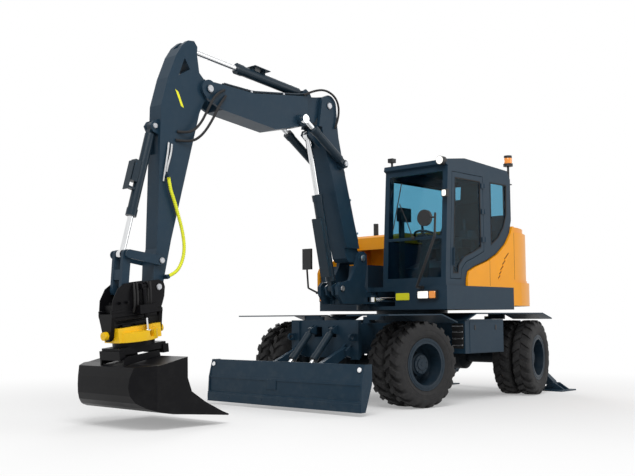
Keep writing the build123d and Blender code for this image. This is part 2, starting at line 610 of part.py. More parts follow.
# ---- boom, arm and tool
def swing_post():
    outline = [(-975, 1192), (-1500, 1192), (-1585, 1300), (-1592, 1400), (-1545, 1450), (-1470, 1455), (-1370, 1480),
               (-1250, 1660), (-1225, 1770), (-1185, 1830), (-1110, 1838), (-1055, 1800), (-1050, 1700), (-1075, 1540),
               (-1100, 1400), (-1040, 1337), (-975, 1337)]
    post = Pos(post_pin[0], post_pin[1], 1264.5) * Cylinder(100, 145)
    post += Pos(post_pin[0], post_pin[1], 1262) * Cylinder(45, 276)
    for side in (-1, 1):
        x0, x1 = sorted((side * 118, side * 165))
        post += side_plate(outline, x0, x1)
    post += side_plate([(-960, 1192), (-1430, 1192), (-1430, 1250), (-1180, 1300), (-1060, 1337), (-960, 1337)], -118, 118)
    post += bar_x(foot, 34, -172, 172)
    post += bar_x(lift_foot, 30, -172, 172)
    for x0, x1 in ((-60, -36), (36, 60)):
        post += side_plate([(-1440, 1240), (-1560, 1300), (-1585, 1400), (-1510, 1440), (-1440, 1420)], x0, x1)
        post += block(x0, x1, -1440, -1400, 1200, 1300)
    x, y, z = swing_eye
    post -= Pos(x, y, z) * Cylinder(62, 64)
    for z0, z1 in ((z - 52, z - 32), (z + 32, z + 52)):
        post += block(120, x, y - 50, y + 50, z0, z1) + Pos(x, y, (z0 + z1) / 2) * Cylinder(50, z1 - z0)
    return post


def boom_lower():
    outline = [(-1085, 1705), (-1330, 1700), (-1375, 1745), (-1680, 2765), (-1790, 3060), (-1835, 3310), (-1560, 3310),
               (-1545, 3200), (-1440, 2790), (-1165, 1838), (-1075, 1800)]
    boom = side_plate(outline, -boom_half, boom_half) + bar_x(foot, 72, -112, 112)
    for side in (-1, 1):
        x0, x1 = sorted((side * 112, side * 160))
        boom -= block(x0, x1, -1420, -1000, 1650, 1870)
        x0, x1 = sorted((side * 108, side * boom_half))
        boom += side_plate([(-1885, 3290), (-1560, 3290), (-1582, 3560), (-1838, 3560)], x0, x1)
        boom += bar_x(knee, 128, x0, x1)
        x0, x1 = sorted((side * 36, side * 62))
        boom += side_plate([(-1740, 3020), (-1900, 3130), (-1985, 3190), (-1960, 3245), (-1780, 3300), (-1740, 3300)], x0, x1)
        x0, x1 = sorted((side * 145, side * 182))
        boom += bar_x(adjust_base, 62, x0, x1)
        x0, x1 = sorted((side * 145, side * 247))
        boom += bar_x(adjust_base, 28, x0, x1)
    boom += bar_x(knee, 34, -156, 156)
    boom -= bar_x(foot, 34.05, -200, 200)
    return boom


def boom_upper():
    outline = [(-1840, 3450), (-1900, 3345), (-2080, 3270), (-2579, 3150), (-3380, 3245), (-3380, 3520), (-2918, 3505),
               (-2271, 3592), (-1900, 3640), (-1740, 3672)]
    boom = side_plate(outline, -100, 100) + bar_x(knee, 118, -100, 100)
    wide = [(-2060, 3275), (-2579, 3150), (-3380, 3245), (-3380, 3520), (-2918, 3505), (-2271, 3592), (-2060, 3620)]
    boom += side_plate(wide, -135, 135)
    for side in (-1, 1):
        x0, x1 = sorted((side * 100, side * 135))
        boom += side_plate([(-3370, 3244), (-3600, 3340), (-3655, 3440), (-3600, 3525), (-3370, 3521)], x0, x1)
        boom += bar_x(arm_pin, 98, x0, x1)
        x0, x1 = sorted((side * 130, side * 180))
        boom += bar_x(adjust_eye, 60, x0, x1)
        x0, x1 = sorted((side * 36, side * 62))
        boom += side_plate([(-2120, 3560), (-2066, 3650), (-2060, 3695), (-2015, 3728), (-1950, 3690),
                             (-1900, 3600)], x0, x1)
    boom += bar_x(arm_pin, 34, -150, 150)
    boom -= bar_x(arm_base, 56, -36, 36)
    boom -= Plane(origin=at_yz(arm_base), z_dir=(0, arm_eye[0] - arm_base[0], arm_eye[1] - arm_base[1])) * (
        Pos(0, 0, 130) * Box(72, 94, 260))
    boom += bar_x(arm_base, 28, -62, 62)
    boom -= bar_x(knee, 34.05, -200, 200)
    return boom


def arm():
    outline = [(-3700, 3790), (-3668, 3600), (-3610, 3545), (-3510, 3525), (-3465, 3440), (-3500, 3360), (-3600, 3300),
               (-3663, 3167), (-4021, 1813), (-4110, 1400), (-4115, 1340), (-4240, 1340), (-4235, 1420), (-4230, 1600),
               (-4195, 1720), (-4160, 3180), (-4075, 3480), (-3975, 3727), (-3895, 3850), (-3820, 3915), (-3740, 3925),
               (-3695, 3870)]
    body = side_plate(outline, -arm_half, arm_half) + bar_x(tip, 62, -arm_half, arm_half)
    body -= side_plate([(-3862, 3722), (-3942, 3520), (-3790, 3612)], -arm_half - 5, arm_half + 5)
    body -= side_plate([(-3910, 3800), (-3910, 3940), (-3600, 3940), (-3600, 3780), (-3690, 3745), (-3800, 3745)], -36, 36)
    body -= bar_x(arm_pin, 34.05, -200, 200)
    body -= block(-58, 58, -4300, -4140, 2680, 2930)
    body += bar_x(rocker_pin, 26, -140, 140)
    body += bar_x(tip, 28, -115, 115)
    for side in (-1, 1):
        x0, x1 = sorted((side * 34, side * 60))
        body += side_plate([(-4100, 3060), (-4230, 3010), (-4262, 2960), (-4230, 2900), (-4100, 2860)], x0, x1)
    body -= bar_x(bucket_base, 53, -34, 34)
    body += bar_x(bucket_base, 26, -60, 60)
    return body


# the tool's hose bundle hangs behind the arm from a clamp to the tool's bracket, in the plane x = hose_x
hose_x = 134
hose_r = 18
hose_route = [(-4088, 2440), (-4070, 2330), (-4016, 2215), (-3963, 2070), (-3911, 1921), (-3880, 1760),
              (-3895, 1640), (-3938, 1545), (-4000, 1480), (-4085, 1447)]


def route_run(start, end):
    """Length and direction of a run of the route."""
    dy, dz = end[0] - start[0], end[1] - start[1]
    return hypot(dy, dz), degrees(atan2(dz, dy))


def hose_radii():
    """A fillet radius for each inner corner: 0.45 of the shorter run over the tangent of half the turn."""
    radii = []
    for before, corner_point, after in zip(hose_route, hose_route[1:], hose_route[2:]):
        run_in, angle_in = route_run(before, corner_point)
        run_out, angle_out = route_run(corner_point, after)
        half_turn = radians(abs((angle_out - angle_in + 180) % 360 - 180) / 2)
        radii.append(0.45 * min(run_in, run_out) / tan(half_turn))
    return radii


def tool_hose():
    path = FilletPolyline(*[(hose_x, y, z) for y, z in hose_route], radius=hose_radii())
    tube = sweep(Plane(origin=path @ 0, z_dir=path % 0) * Circle(hose_r), path=path)
    ideal = path.length * radians(180) * hose_r ** 2
    print("tool_hose length", round(path.length, 1), "mm, smallest radius", round(min(hose_radii())),
          "mm, volume over section x length", round(tube.volume / ideal, 4))
    return tube


def hose_clamps():
    """Clamps on the arm that hold the hose's two ends face to face."""
    clamps = None
    for end, neighbour in ((hose_route[0], hose_route[1]), (hose_route[-1], hose_route[-2])):
        away = Vector(0, end[0] - neighbour[0], end[1] - neighbour[1])
        clamp = Plane(origin=at_x(hose_x, end), x_dir=along_x, z_dir=away) * block(-54, 26, -20, 20, 0, 30)
        clamps = clamp if clamps is None else clamps + clamp
    return clamps


def rocker_arms():
    links = []
    for side in (-1, 1):
        x0, x1 = sorted((side * 118, side * 136))
        link = side_plate([(-4165, 1648), (-4545, 1692), (-4545, 1608), (-4165, 1552)], x0, x1)
        link += bar_x(rocker_pin, 46, x0, x1) + bar_x(rocker_eye, 42, x0, x1)
        x0, x1 = sorted((side * 38, side * 136))
        link += bar_x(rocker_eye, 24, x0, x1)
        links.append(link - bar_x(rocker_pin, 26.05, -200, 200))
    return links


def bucket_link():
    link = None
    for side in (-1, 1):
        x0, x1 = sorted((side * 50, side * 92))
        plate = side_plate([(-4500, 1650), (-4528, 1300), (-4612, 1300), (-4590, 1650)], x0, x1)
        plate += bar_x(rocker_eye, 45, x0, x1) + bar_x(tool_pin, 44, x0, x1)
        link = plate if link is None else link + plate
    link += side_plate([(-4530, 1500), (-4535, 1400), (-4600, 1400), (-4597, 1500)], -55, 55)
    link -= bar_x(rocker_eye, 24.05, -200, 200)
    return link


def tool_place():
    return Pos(0, rotor_y, tilt_axis_z) * Rot(tilt_pitch, 0, 0)


def rotator_frame():
    outline = [(-4105, 1345), (-4125, 1395), (-4190, 1412), (-4480, 1372), (-4590, 1362), (-4660, 1310), (-4715, 1200),
               (-4720, 1100), (-4140, 1160), (-4112, 1250)]
    base = block(-110, 110, -300, 300, 170, 205)
    for y0, y1 in ((-300, -262), (262, 300)):
        base += front_plate([(-110, 190), (-62, -20), (62, -20), (110, 190)], y0, y1)
        base += bar((0, y0, 0), (0, y1, 0), 60)
        base -= bar((0, y0 - 5, 0), (0, y1 + 5, 0), 40.05)
    for side in (-1, 1):
        x = side * tilt_head
        for y0, y1 in ((tilt_y - 44, tilt_y - 26), (tilt_y + 26, tilt_y + 44)):
            base += block(min(side * 102, x), max(side * 102, x), y0, y1, tilt_rise - 30, tilt_rise + 26)
            base += bar((x, y0, tilt_rise), (x, y1, tilt_rise), 30)
        base += bar((x, tilt_y - 44, tilt_rise), (x, tilt_y + 44, tilt_rise), 11)
        x0, x1 = sorted((side * 203, side * 211))
        base += block(x0, x1, -40, 170, 178, 262)
        for y0, y1 in ((-40, -32), (162, 170)):
            x0, x1 = sorted((side * 105, side * 211))
            base += block(x0, x1, y0, y1, 178, 262)
            x0, x1 = sorted((side * 100, side * 114))
            base += block(x0, x1, y0, y1, 172, 262)
    frame = tool_place() * base
    for side in (-1, 1):
        x0, x1 = sorted((side * 100.5, side * 111.5))
        frame += side_plate(outline, x0, x1)
    frame -= bar_x(tip, 28.05, -200, 200)
    return frame


def tilt_housing():
    body = Pos(0, 0, -34) * Cylinder(238, 92)
    body += bar((0, -345, 0), (0, 345, 0), 40) + bar((0, -252, 0), (0, 252, 0), 58)
    body += Pos(0, 0, 30) * Cylinder(120, 60)
    body += block(-120, 120, -250, 250, -75, 60)
    for side in (-1, 1):
        x = side * tilt_arm
        x0, x1 = sorted((side * 99, side * 250))
        body -= block(x0, x1, tilt_y - 29, tilt_y + 29, -50, 70)
        for y0, y1 in ((tilt_y - 43, tilt_y - 29), (tilt_y + 29, tilt_y + 43)):
            body += front_plate([(x - 44, -75), (x - 20, 8), (x + 20, 8), (x + 44, -75)], y0, y1)
    return tool_place() * body


def hitch():
    body = Pos(0, 0, -106) * Cylinder(205, 40)
    body += block(-150, 150, -270, 270, -190, -126)
    body += block(-165, 165, -290, -225, -235, -150) + block(-165, 165, 225, 290, -235, -150)
    return tool_place() * body


bucket_half = 605
bucket_side = [(-4208, 668), (-4500, 601), (-4712, 577), (-4740, 480), (-4748, 395), (-4736, 318), (-4697, 252),
               (-4622, 201), (-4515, 165), (-4370, 142), (-4200, 128), (-3700, 84),
               (-3690, 96), (-3780, 131), (-3990, 234), (-4155, 340), (-4205, 470)]
bucket_room = [(-4196, 655), (-4500, 588), (-4698, 566), (-4726, 477), (-4734, 397), (-4723, 324), (-4687, 263),
               (-4616, 214), (-4511, 179), (-4368, 156), (-4200, 142), (-3600, 92),
               (-3600, 700)]


def bucket_body(points, half, cut):
    """Extruded outline with the two back corners and the two lower sides cut at an angle."""
    body = side_plate(points, -half, half)
    for side in (-1, 1):
        corner_cut = deck_plate([(side * (half - 200 - cut), -4760), (side * (half + 60), -4500 + cut),
                                 (side * (half + 60), -4900), (side * (half - 200 - cut), -4900)], 0, 800)
        body -= corner_cut
    return body


def bucket():
    shell = bucket_body(bucket_side, bucket_half, 0)
    room = bucket_body(bucket_room, bucket_half - 14, 8)
    shell -= room
    for side in (-1, 1):
        x0, x1 = sorted((side * 172, side * 196))
        ear = side_plate([(-4640, 584), (-4640, 640), (-4600, 668), (-4230, 722), (-4215, 668)], x0, x1)
        shell += ear
    return shell


# ---- nodes
def build():
    nodes = {"chassis_frame": chassis_frame(), "axles": [axle(-axle_y), axle(axle_y)]}
    nodes["fenders_and_boxes"] = both_sides(fenders_and_boxes())
    for end, y, steer in (("front", -axle_y, steer_front), ("rear", axle_y, steer_rear)):
        for name, side in (("left", 1), ("right", -1)):
            nodes[f"knuckle_{end}_{name}"] = corner(knuckle(), side, y, steer)
            nodes[f"wheel_{end}_{name}"] = corner(wheel(), side, y, steer)
            nodes[f"tyres_{end}_{name}"] = [corner(t, side, y, steer) for t in tyres()]
    nodes["dozer_blade"] = dozer_blade()
    for name in ("blade", "adjust"):
        pair = [ram(name), ram(name, mirrored=True)]
        nodes[f"{name}_barrels"] = [barrel for barrel, rod in pair]
        nodes[f"{name}_rods"] = [rod for barrel, rod in pair]
    for name, right in (("left", False), ("right", True)):
        leg = stabiliser()
        nodes[f"stabiliser_{name}"] = mirror(leg, about=Plane.YZ) if right else leg
        nodes[f"leg_barrel_{name}"], nodes[f"leg_rod_{name}"] = ram("leg", right)
        nodes[f"tilt_barrel_{name}"], nodes[f"tilt_rod_{name}"] = ram("tilt", right)
    for name in ("swing", "lift", "arm", "bucket"):
        nodes[f"{name}_barrel"], nodes[f"{name}_rod"] = ram(name)
    nodes["lift_barrel"] += lift_guard()
    nodes["arm_barrel"] += arm_cylinder_guard()
    nodes["bucket_barrel"] += load_valve()
    nodes["platform"] = platform()
    nodes["counterweight"] = counterweight()
    nodes["body_covers"] = body_covers()
    nodes["engine_block"] = engine_block()
    nodes["engine_hood"] = engine_hood()
    nodes["cab_shell"] = cab_shell()
    nodes["cab_interior"] = cab_interior()
    nodes["cab_glass"] = cab_glass()
    nodes["cab_door"] = cab_door()
    nodes["door_glass"] = door_glass()
    nodes["lamps_and_mirrors"] = lamps_and_mirrors()
    nodes["swing_post"] = swing_post()
    nodes["boom_lower"] = boom_lower()
    nodes["boom_upper"] = boom_upper()
    nodes["arm"] = arm() + hose_clamps()
    nodes["tool_hose"] = tool_hose()
    nodes["rocker_arms"] = rocker_arms()
    nodes["bucket_link"] = bucket_link()
    nodes["rotator_frame"] = rotator_frame()
    nodes["tilt_housing"] = tilt_housing()
    nodes["hitch"] = hitch()
    nodes["bucket"] = bucket()
    return nodes


def export(nodes):
    os.makedirs("parts", exist_ok=True)
    solids = {}
    for name, shape in nodes.items():
        pieces = []
        for piece in shape if isinstance(shape, list) else [shape]:
            pieces += piece.solids()
        solids[name] = Compound(children=pieces) if len(pieces) > 1 else pieces[0]
    boxes = [s.bounding_box() for s in solids.values()]
    middle = (min(b.min.Y for b in boxes) + max(b.max.Y for b in boxes)) / 2
    print("origin moved by", round(-middle, 3), "mm along Y")
    for name, shape in solids.items():
        export_step(Pos(0, -middle, 0) * shape, f"parts/{name}.step")


export(build())
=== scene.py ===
import json
import math

import bmesh
import bpy
import numpy as np
from mathutils import Matrix, Vector


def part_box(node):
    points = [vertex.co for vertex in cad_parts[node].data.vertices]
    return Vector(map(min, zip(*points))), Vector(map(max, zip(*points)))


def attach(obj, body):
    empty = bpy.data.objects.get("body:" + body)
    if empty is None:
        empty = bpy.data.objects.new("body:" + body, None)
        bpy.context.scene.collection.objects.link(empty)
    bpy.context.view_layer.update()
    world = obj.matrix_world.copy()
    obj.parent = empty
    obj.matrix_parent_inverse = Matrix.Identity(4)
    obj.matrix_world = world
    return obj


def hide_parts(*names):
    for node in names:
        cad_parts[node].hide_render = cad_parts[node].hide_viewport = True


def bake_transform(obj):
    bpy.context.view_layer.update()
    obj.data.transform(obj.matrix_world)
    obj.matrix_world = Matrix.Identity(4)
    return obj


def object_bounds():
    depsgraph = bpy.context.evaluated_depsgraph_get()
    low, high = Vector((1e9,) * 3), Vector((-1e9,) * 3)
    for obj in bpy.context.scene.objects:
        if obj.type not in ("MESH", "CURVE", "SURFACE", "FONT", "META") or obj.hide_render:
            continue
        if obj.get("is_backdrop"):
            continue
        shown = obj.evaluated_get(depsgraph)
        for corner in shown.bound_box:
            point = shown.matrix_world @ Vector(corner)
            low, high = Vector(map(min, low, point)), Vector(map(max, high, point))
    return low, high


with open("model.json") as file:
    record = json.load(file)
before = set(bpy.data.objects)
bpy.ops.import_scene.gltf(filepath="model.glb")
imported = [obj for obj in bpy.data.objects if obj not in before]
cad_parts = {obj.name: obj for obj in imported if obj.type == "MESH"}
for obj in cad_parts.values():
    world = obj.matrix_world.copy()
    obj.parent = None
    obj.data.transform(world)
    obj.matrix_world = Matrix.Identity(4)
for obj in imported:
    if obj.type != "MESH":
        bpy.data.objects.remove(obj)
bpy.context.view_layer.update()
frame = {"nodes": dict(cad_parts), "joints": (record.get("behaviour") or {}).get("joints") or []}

joints = {joint["name"]: joint for joint in frame["joints"]}


def pin(jointName):
    return np.array(joints[jointName]["pos_m"], float)


# the middle of the wheelbase on the ground: places below are metres from it
middle = (pin("steer_front_left") + pin("steer_rear_right")) / 2 * np.array([0, 1, 0])


def at(x, y, z):
    return middle + np.array([x, y, z], float)


# ---- surfaces: a part is (points, quads, caps)
def makeGrid(points, closeU=False, closeV=False, capEnds=False):
    # point (u, v) joins (u+1, v), (u+1, v+1) and (u, v+1); closed directions wrap round
    rows, columns = points.shape[:2]
    u = np.arange(rows if closeU else rows - 1)[:, None]
    v = np.arange(columns if closeV else columns - 1)[None, :]
    u2 = (u + 1) % rows
    v2 = (v + 1) % columns
    quads = np.stack([u * columns + v, u2 * columns + v, u2 * columns + v2, u * columns + v2], -1)
    caps = []
    if capEnds:
        caps = [np.arange(columns)[::-1], (rows - 1) * columns + np.arange(columns)]
    return points.reshape(-1, 3), quads.reshape(-1, 4), caps


def joinParts(parts):
    points, quads, caps, offset = [], [], [], 0
    for partPoints, partQuads, partCaps in parts:
        points.append(partPoints)
        quads.append(partQuads + offset)
        caps += [cap + offset for cap in partCaps]
        offset += len(partPoints)
    return np.concatenate(points), np.concatenate(quads), caps


def movePart(part, matrix):
    # every point times the 3 by 3 turn, plus the shift
    matrix = np.array(matrix, float)
    return part[0] @ matrix[:3, :3].T + matrix[:3, 3], part[1], part[2]


def copyPart(part, matrices):
    # all copies at once: copy k of point p is turn k times p plus shift k
    matrices = np.array(matrices, float)
    points, quads, caps = part
    count = len(points)
    placed = np.einsum("kij,pj->kpi", matrices[:, :3, :3], points) + matrices[:, None, :3, 3]
    allQuads = quads[None] + (np.arange(len(matrices)) * count)[:, None, None]
    allCaps = [cap + k * count for k in range(len(matrices)) for cap in caps]
    return placed.reshape(-1, 3), allQuads.reshape(-1, 4), allCaps


def mirrorPart(part):
    return part[0] * np.array([-1, 1, 1]), part[1][:, ::-1], [cap[::-1] for cap in part[2]]


def bothSides(part):
    return joinParts([part, mirrorPart(part)])


def frameOn(direction, up=(0, 0, 1)):
    # right-handed axes whose third column is the direction
    w = np.array(direction, float) / np.linalg.norm(direction)
    up = np.array(up, float)
    if abs(w @ up) > 0.95 * np.linalg.norm(up):
        up = np.array([0, 1, 0]) if abs(w[1]) < 0.9 else np.array([1, 0, 0])
    u = np.cross(up, w)
    u /= np.linalg.norm(u)
    return np.stack([u, np.cross(w, u), w], 1)


def placeAt(point, direction=(0, 0, 1), up=(0, 0, 1)):
    matrix = np.eye(4)
    matrix[:3, :3] = frameOn(direction, up)
    matrix[:3, 3] = point
    return matrix


def roundOutline(width, height, corner, perCorner=3):
    # a rectangle whose corners are quarter circles: centre of the corner plus radius times (cos, sin)
    corner = min(corner, 0.499 * width, 0.499 * height)
    angles = np.linspace(0, math.pi / 2, perCorner)[None, :] + np.arange(4)[:, None] * math.pi / 2
    reach = np.array([width / 2 - corner, height / 2 - corner])
    signs = np.array([[1, 1], [-1, 1], [-1, -1], [1, -1]]) * reach
    rim = signs[:, None, :] + corner * np.stack([np.cos(angles), np.sin(angles)], -1)
    return rim.reshape(-1, 2)


def insetOutline(outline, distance):
    # each corner moves along the mean of its two edges' normals, so that both edges shift by the distance
    ahead = np.roll(outline, -1, 0) - outline
    ahead /= np.linalg.norm(ahead, axis=1)[:, None] + 1e-12
    behind = np.roll(ahead, 1, 0)
    normal = np.stack([ahead[:, 1] + behind[:, 1], -ahead[:, 0] - behind[:, 0]], 1)
    scale = 1 + (ahead * behind).sum(1)
    area = (outline[:, 0] * np.roll(outline[:, 1], -1) - np.roll(outline[:, 0], -1) * outline[:, 1]).sum()
    return outline - math.copysign(distance, area) * normal / np.maximum(scale, 0.3)[:, None]


def slab(outline, low, high, bevel=0.003):
    # the outline carried from low to high, drawn in by the bevel at both ends
    outline = np.array(outline, float)
    small = insetOutline(outline, bevel)
    rings = [(small, low), (outline, low + bevel), (outline, high - bevel), (small, high)]
    points = np.stack([np.column_stack([ring, np.full(len(ring), h)]) for ring, h in rings])
    return makeGrid(points, closeV=True, capEnds=True)


def plateX(outline, x0, x1, bevel=0.003):
    # outline of (y, z) points from the middle of the wheelbase, from x0 to x1
    points, quads, caps = slab(outline, x0, x1, bevel)
    return points[:, [2, 0, 1]] + middle, quads, caps


def brick(size, corner=0.004, bevel=0.003):
    # a block with round upright edges, centred on the origin
    half = size[2] / 2
    return slab(roundOutline(size[0], size[1], corner), -half, half, min(bevel, size[2] / 3))


def brickAt(point, size, direction=(0, 0, 1), up=(0, 0, 1), corner=0.004, bevel=0.003):
    return movePart(brick(size, corner, bevel), placeAt(point, direction, up))


def lathe(profile, sides=32, closed=False):
    # (height, radius) points turned round the third axis: radius times (cos, sin) of the angle
    profile = np.array(profile, float)
    angle = np.arange(sides) * 2 * math.pi / sides
    ring = np.stack([np.cos(angle), np.sin(angle)], -1)
    flat = profile[:, 1][:, None, None] * ring[None]
    height = np.broadcast_to(profile[:, 0][:, None, None], flat.shape[:2] + (1,))
    return makeGrid(np.concatenate([flat, height], -1), closeU=closed, closeV=True, capEnds=not closed)


def turnedAt(point, direction, profile, sides=32):
    return movePart(lathe(profile, sides), placeAt(point, direction))


def boltHead(radius, height):
    # washer, six-sided head and chamfer
    points = lathe([(0, radius * 1.35), (height * 0.18, radius * 1.35)], 18)
    head = lathe([(height * 0.18, radius), (height * 0.85, radius), (height, radius * 0.86)], 6)
    return joinParts([points, head])


def sweep(path, profile):
    # the profile stands square to the path; each frame is the last one, turned as the path turns
    path = np.array(path, float)
    ahead = np.gradient(path, axis=0)
    ahead /= np.linalg.norm(ahead, axis=1)[:, None]
    side = frameOn(ahead[0])[:, 0]
    frames = []
    for direction in ahead:
        side = side - direction * (side @ direction)
        side /= np.linalg.norm(side)
        frames.append(np.stack([side, np.cross(direction, side)], 0))
    frames = np.array(frames)
    rings = path[:, None, :] + np.einsum("pc,ucj->upj", np.array(profile, float), frames)
    return makeGrid(rings, closeV=True, capEnds=True)


def tube(path, radius, sides=10):
    angle = np.arange(sides) * 2 * math.pi / sides
    return sweep(path, radius * np.stack([np.cos(angle), np.sin(angle)], -1))


def bend(points, radius=0.03, steps=6):
    # straight runs whose corners are rounded by a quadratic curve between points set back by the radius
    points = np.array(points, float)
    path = [points[0]]
    for before, corner, after in zip(points[:-2], points[1:-1], points[2:]):
        toBefore = before - corner
        toAfter = after - corner
        back = min(radius, 0.45 * np.linalg.norm(toBefore), 0.45 * np.linalg.norm(toAfter))
        a = corner + toBefore / np.linalg.norm(toBefore) * back
        b = corner + toAfter / np.linalg.norm(toAfter) * back
        t = np.linspace(0, 1, steps)[:, None]
        path.extend((1 - t) ** 2 * a + 2 * t * (1 - t) * corner + t ** 2 * b)
    path.append(points[-1])
    return np.array(path)


def makePiece(name, parts, material, body, crease=32, replaced=()):
    points, quads, caps = joinParts(parts) if isinstance(parts, list) else parts
    lengths = np.concatenate([np.full(len(quads), 4), np.array([len(cap) for cap in caps], int)])
    corners = np.concatenate([quads.ravel(), *caps]) if caps else quads.ravel()
    mesh = bpy.data.meshes.new(name)
    mesh.vertices.add(len(points))
    mesh.vertices.foreach_set("co", points.astype(np.float32).ravel())
    mesh.loops.add(len(corners))
    mesh.loops.foreach_set("vertex_index", corners.astype(np.int32))
    mesh.polygons.add(len(lengths))
    mesh.polygons.foreach_set("loop_start", np.concatenate([[0], np.cumsum(lengths)[:-1]]).astype(np.int32))
    mesh.update(calc_edges=True)
    work = bmesh.new()
    work.from_mesh(mesh)
    bmesh.ops.remove_doubles(work, verts=work.verts, dist=1e-5)
    bmesh.ops.recalc_face_normals(work, faces=work.faces)
    work.to_mesh(mesh)
    work.free()
    mesh.polygons.foreach_set("use_smooth", np.ones(len(mesh.polygons), bool))
    mesh.set_sharp_from_angle(angle=math.radians(crease))
    piece = bpy.data.objects.new(name, mesh)
    bpy.context.scene.collection.objects.link(piece)
    mesh.materials.append(material)
    if body:
        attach(piece, body)
    if replaced:
        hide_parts(*replaced)
    return piece


# ---- shader maths
class Wire:
    def __init__(self, finish, socket):
        self.finish = finish
        self.socket = socket

    def maths(self, operation, first, second):
        return self.finish.node("ShaderNodeMath", {"operation": operation}, {0: first, 1: second})

    def __add__(self, other):
        return self.maths("ADD", self, other)

    def __radd__(self, other):
        return self.maths("ADD", other, self)

    def __sub__(self, other):
        return self.maths("SUBTRACT", self, other)

    def __rsub__(self, other):
        return self.maths("SUBTRACT", other, self)

    def __mul__(self, other):
        return self.maths("MULTIPLY", self, other)

    def __rmul__(self, other):
        return self.maths("MULTIPLY", other, self)

    def above(self, edge, softness):
        # 0 below the edge, 1 above it, smooth over the softness
        settings = {"interpolation_type": "SMOOTHSTEP"}
        sockets = {0: self, 1: edge - softness, 2: edge + softness}
        return self.finish.node("ShaderNodeMapRange", settings, sockets)


class Finish:
    def __init__(self, name):
        self.material = bpy.data.materials.new(name)
        self.material.use_nodes = True
        self.nodes = self.material.node_tree.nodes
        self.links = self.material.node_tree.links
        self.shader = self.nodes["Principled BSDF"]

    def node(self, kind, settings=None, sockets=None, output=0):
        made = self.nodes.new(kind)
        for key, value in (settings or {}).items():
            setattr(made, key, value)
        for key, value in (sockets or {}).items():
            self.connect(made.inputs[key], value)
        return Wire(self, made.outputs[output])

    def connect(self, socket, value):
        if isinstance(value, Wire):
            self.links.new(value.socket, socket)
        else:
            socket.default_value = value

    def place(self):
        return self.node("ShaderNodeTexCoord", output=3)

    def noise(self, scale, detail=3.0, roughness=0.5, vector=None):
        sockets = {"Vector": vector or self.place(), "Scale": scale, "Detail": detail, "Roughness": roughness}
        return self.node("ShaderNodeTexNoise", {}, sockets)

    def axis(self, name):
        return self.node("ShaderNodeSeparateXYZ", {}, {0: self.place()}, output="XYZ".index(name))

    def mix(self, factor, first, second):
        settings = {"data_type": "RGBA"}
        return self.node("ShaderNodeMix", settings, {0: factor, 6: first, 7: second}, output=2)

    def bump(self, height, strength, distance):
        sockets = {"Height": height, "Strength": strength, "Distance": distance}
        return self.node("ShaderNodeBump", {}, sockets)

    def set(self, **values):
        for key, value in values.items():
            self.connect(self.shader.inputs[key.replace("_", " ")], value)
        return self


def colour(red, green, blue):
    return (red, green, blue, 1)


# every enamel: (colour, roughness, coat, dust on it, dust colour, specular level)
enamels = {
    "slateEnamel": (colour(0.011, 0.030, 0.051), 0.40, 0.0, 0.02, colour(0.10, 0.11, 0.11), 0.16),
    "axleEnamel": (colour(0.006, 0.011, 0.016), 0.55, 0.0, 0.04, colour(0.07, 0.07, 0.07), 0.15),
    "rimEnamel": (colour(0.011, 0.023, 0.036), 0.42, 0.0, 0.03, colour(0.09, 0.09, 0.09), 0.18),
    "amberEnamel": (colour(0.86, 0.335, 0.004), 0.38, 0.04, 0.01, colour(0.6, 0.45, 0.25), 0.22),
    "toolYellowEnamel": (colour(0.86, 0.52, 0.006), 0.36, 0.1, 0.02, colour(0.5, 0.4, 0.2), 0.25),
    "toolBlackEnamel": (colour(0.004, 0.004, 0.005), 0.38, 0.0, 0.02, colour(0.04, 0.04, 0.04), 0.10),
    "cylinderEnamel": (colour(0.010, 0.022, 0.034), 0.32, 0.0, 0.02, colour(0.08, 0.08, 0.08), 0.20),
}


def shade(base, factor):
    return tuple(min(1, factor * c) for c in base[:3]) + (1,)


def makeEnamel(name, base, rough, coat, dust, dustColour, specular):
    # sprayed enamel: fine orange peel, cloudy gloss, and dust that gathers in patches, more of it low down
    finish = Finish(name)
    cloud = finish.noise(2.3, 5.0, 0.6)
    patches = finish.noise(9.0, 6.0, 0.65).above(0.56, 0.14)
    low = 1 - finish.axis("Z").above(0.45, 0.45)
    mask = patches * (0.35 + low * 0.65) * dust * 6
    shaded = finish.mix(cloud, shade(base, 0.88), shade(base, 1.12))
    peel = finish.noise(420.0, 2.0)
    finish.set(Base_Color=finish.mix(mask, shaded, dustColour))
    finish.set(Roughness=rough + cloud * 0.12 - 0.06 + mask * 0.3)
    finish.set(Coat_Weight=coat, Coat_Roughness=0.12, Normal=finish.bump(peel, 0.04, 0.0006))
    finish.set(Specular_IOR_Level=specular)
    return finish.material


def makeRubber(name, base, grain, dust):
    # moulded rubber: fine grain, and pale dust in patches
    finish = Finish(name)
    fine = finish.noise(grain, 4.0, 0.6)
    patches = finish.noise(14.0, 6.0, 0.7).above(0.52, 0.2)
    mask = patches * dust
    finish.set(Base_Color=finish.mix(mask, base, colour(0.085, 0.08, 0.075)), Roughness=0.62 + fine * 0.25)
    finish.set(Normal=finish.bump(fine, 0.25, 0.0008), Specular_IOR_Level=0.35)
    return finish.material


def makeMetal(name, base, rough, brushed, metallic=1.0):
    # metal with faint streaks across its length
    finish = Finish(name)
    stretched = finish.node("ShaderNodeMapping", {}, {"Vector": finish.place(), "Scale": brushed})
    streaks = finish.noise(60.0, 3.0, 0.6, stretched)
    finish.set(Base_Color=finish.mix(streaks, shade(base, 0.82), base), Metallic=metallic)
    finish.set(Roughness=rough * 0.7 + streaks * rough * 0.6, Normal=finish.bump(streaks, 0.05, 0.0004))
    return finish.material


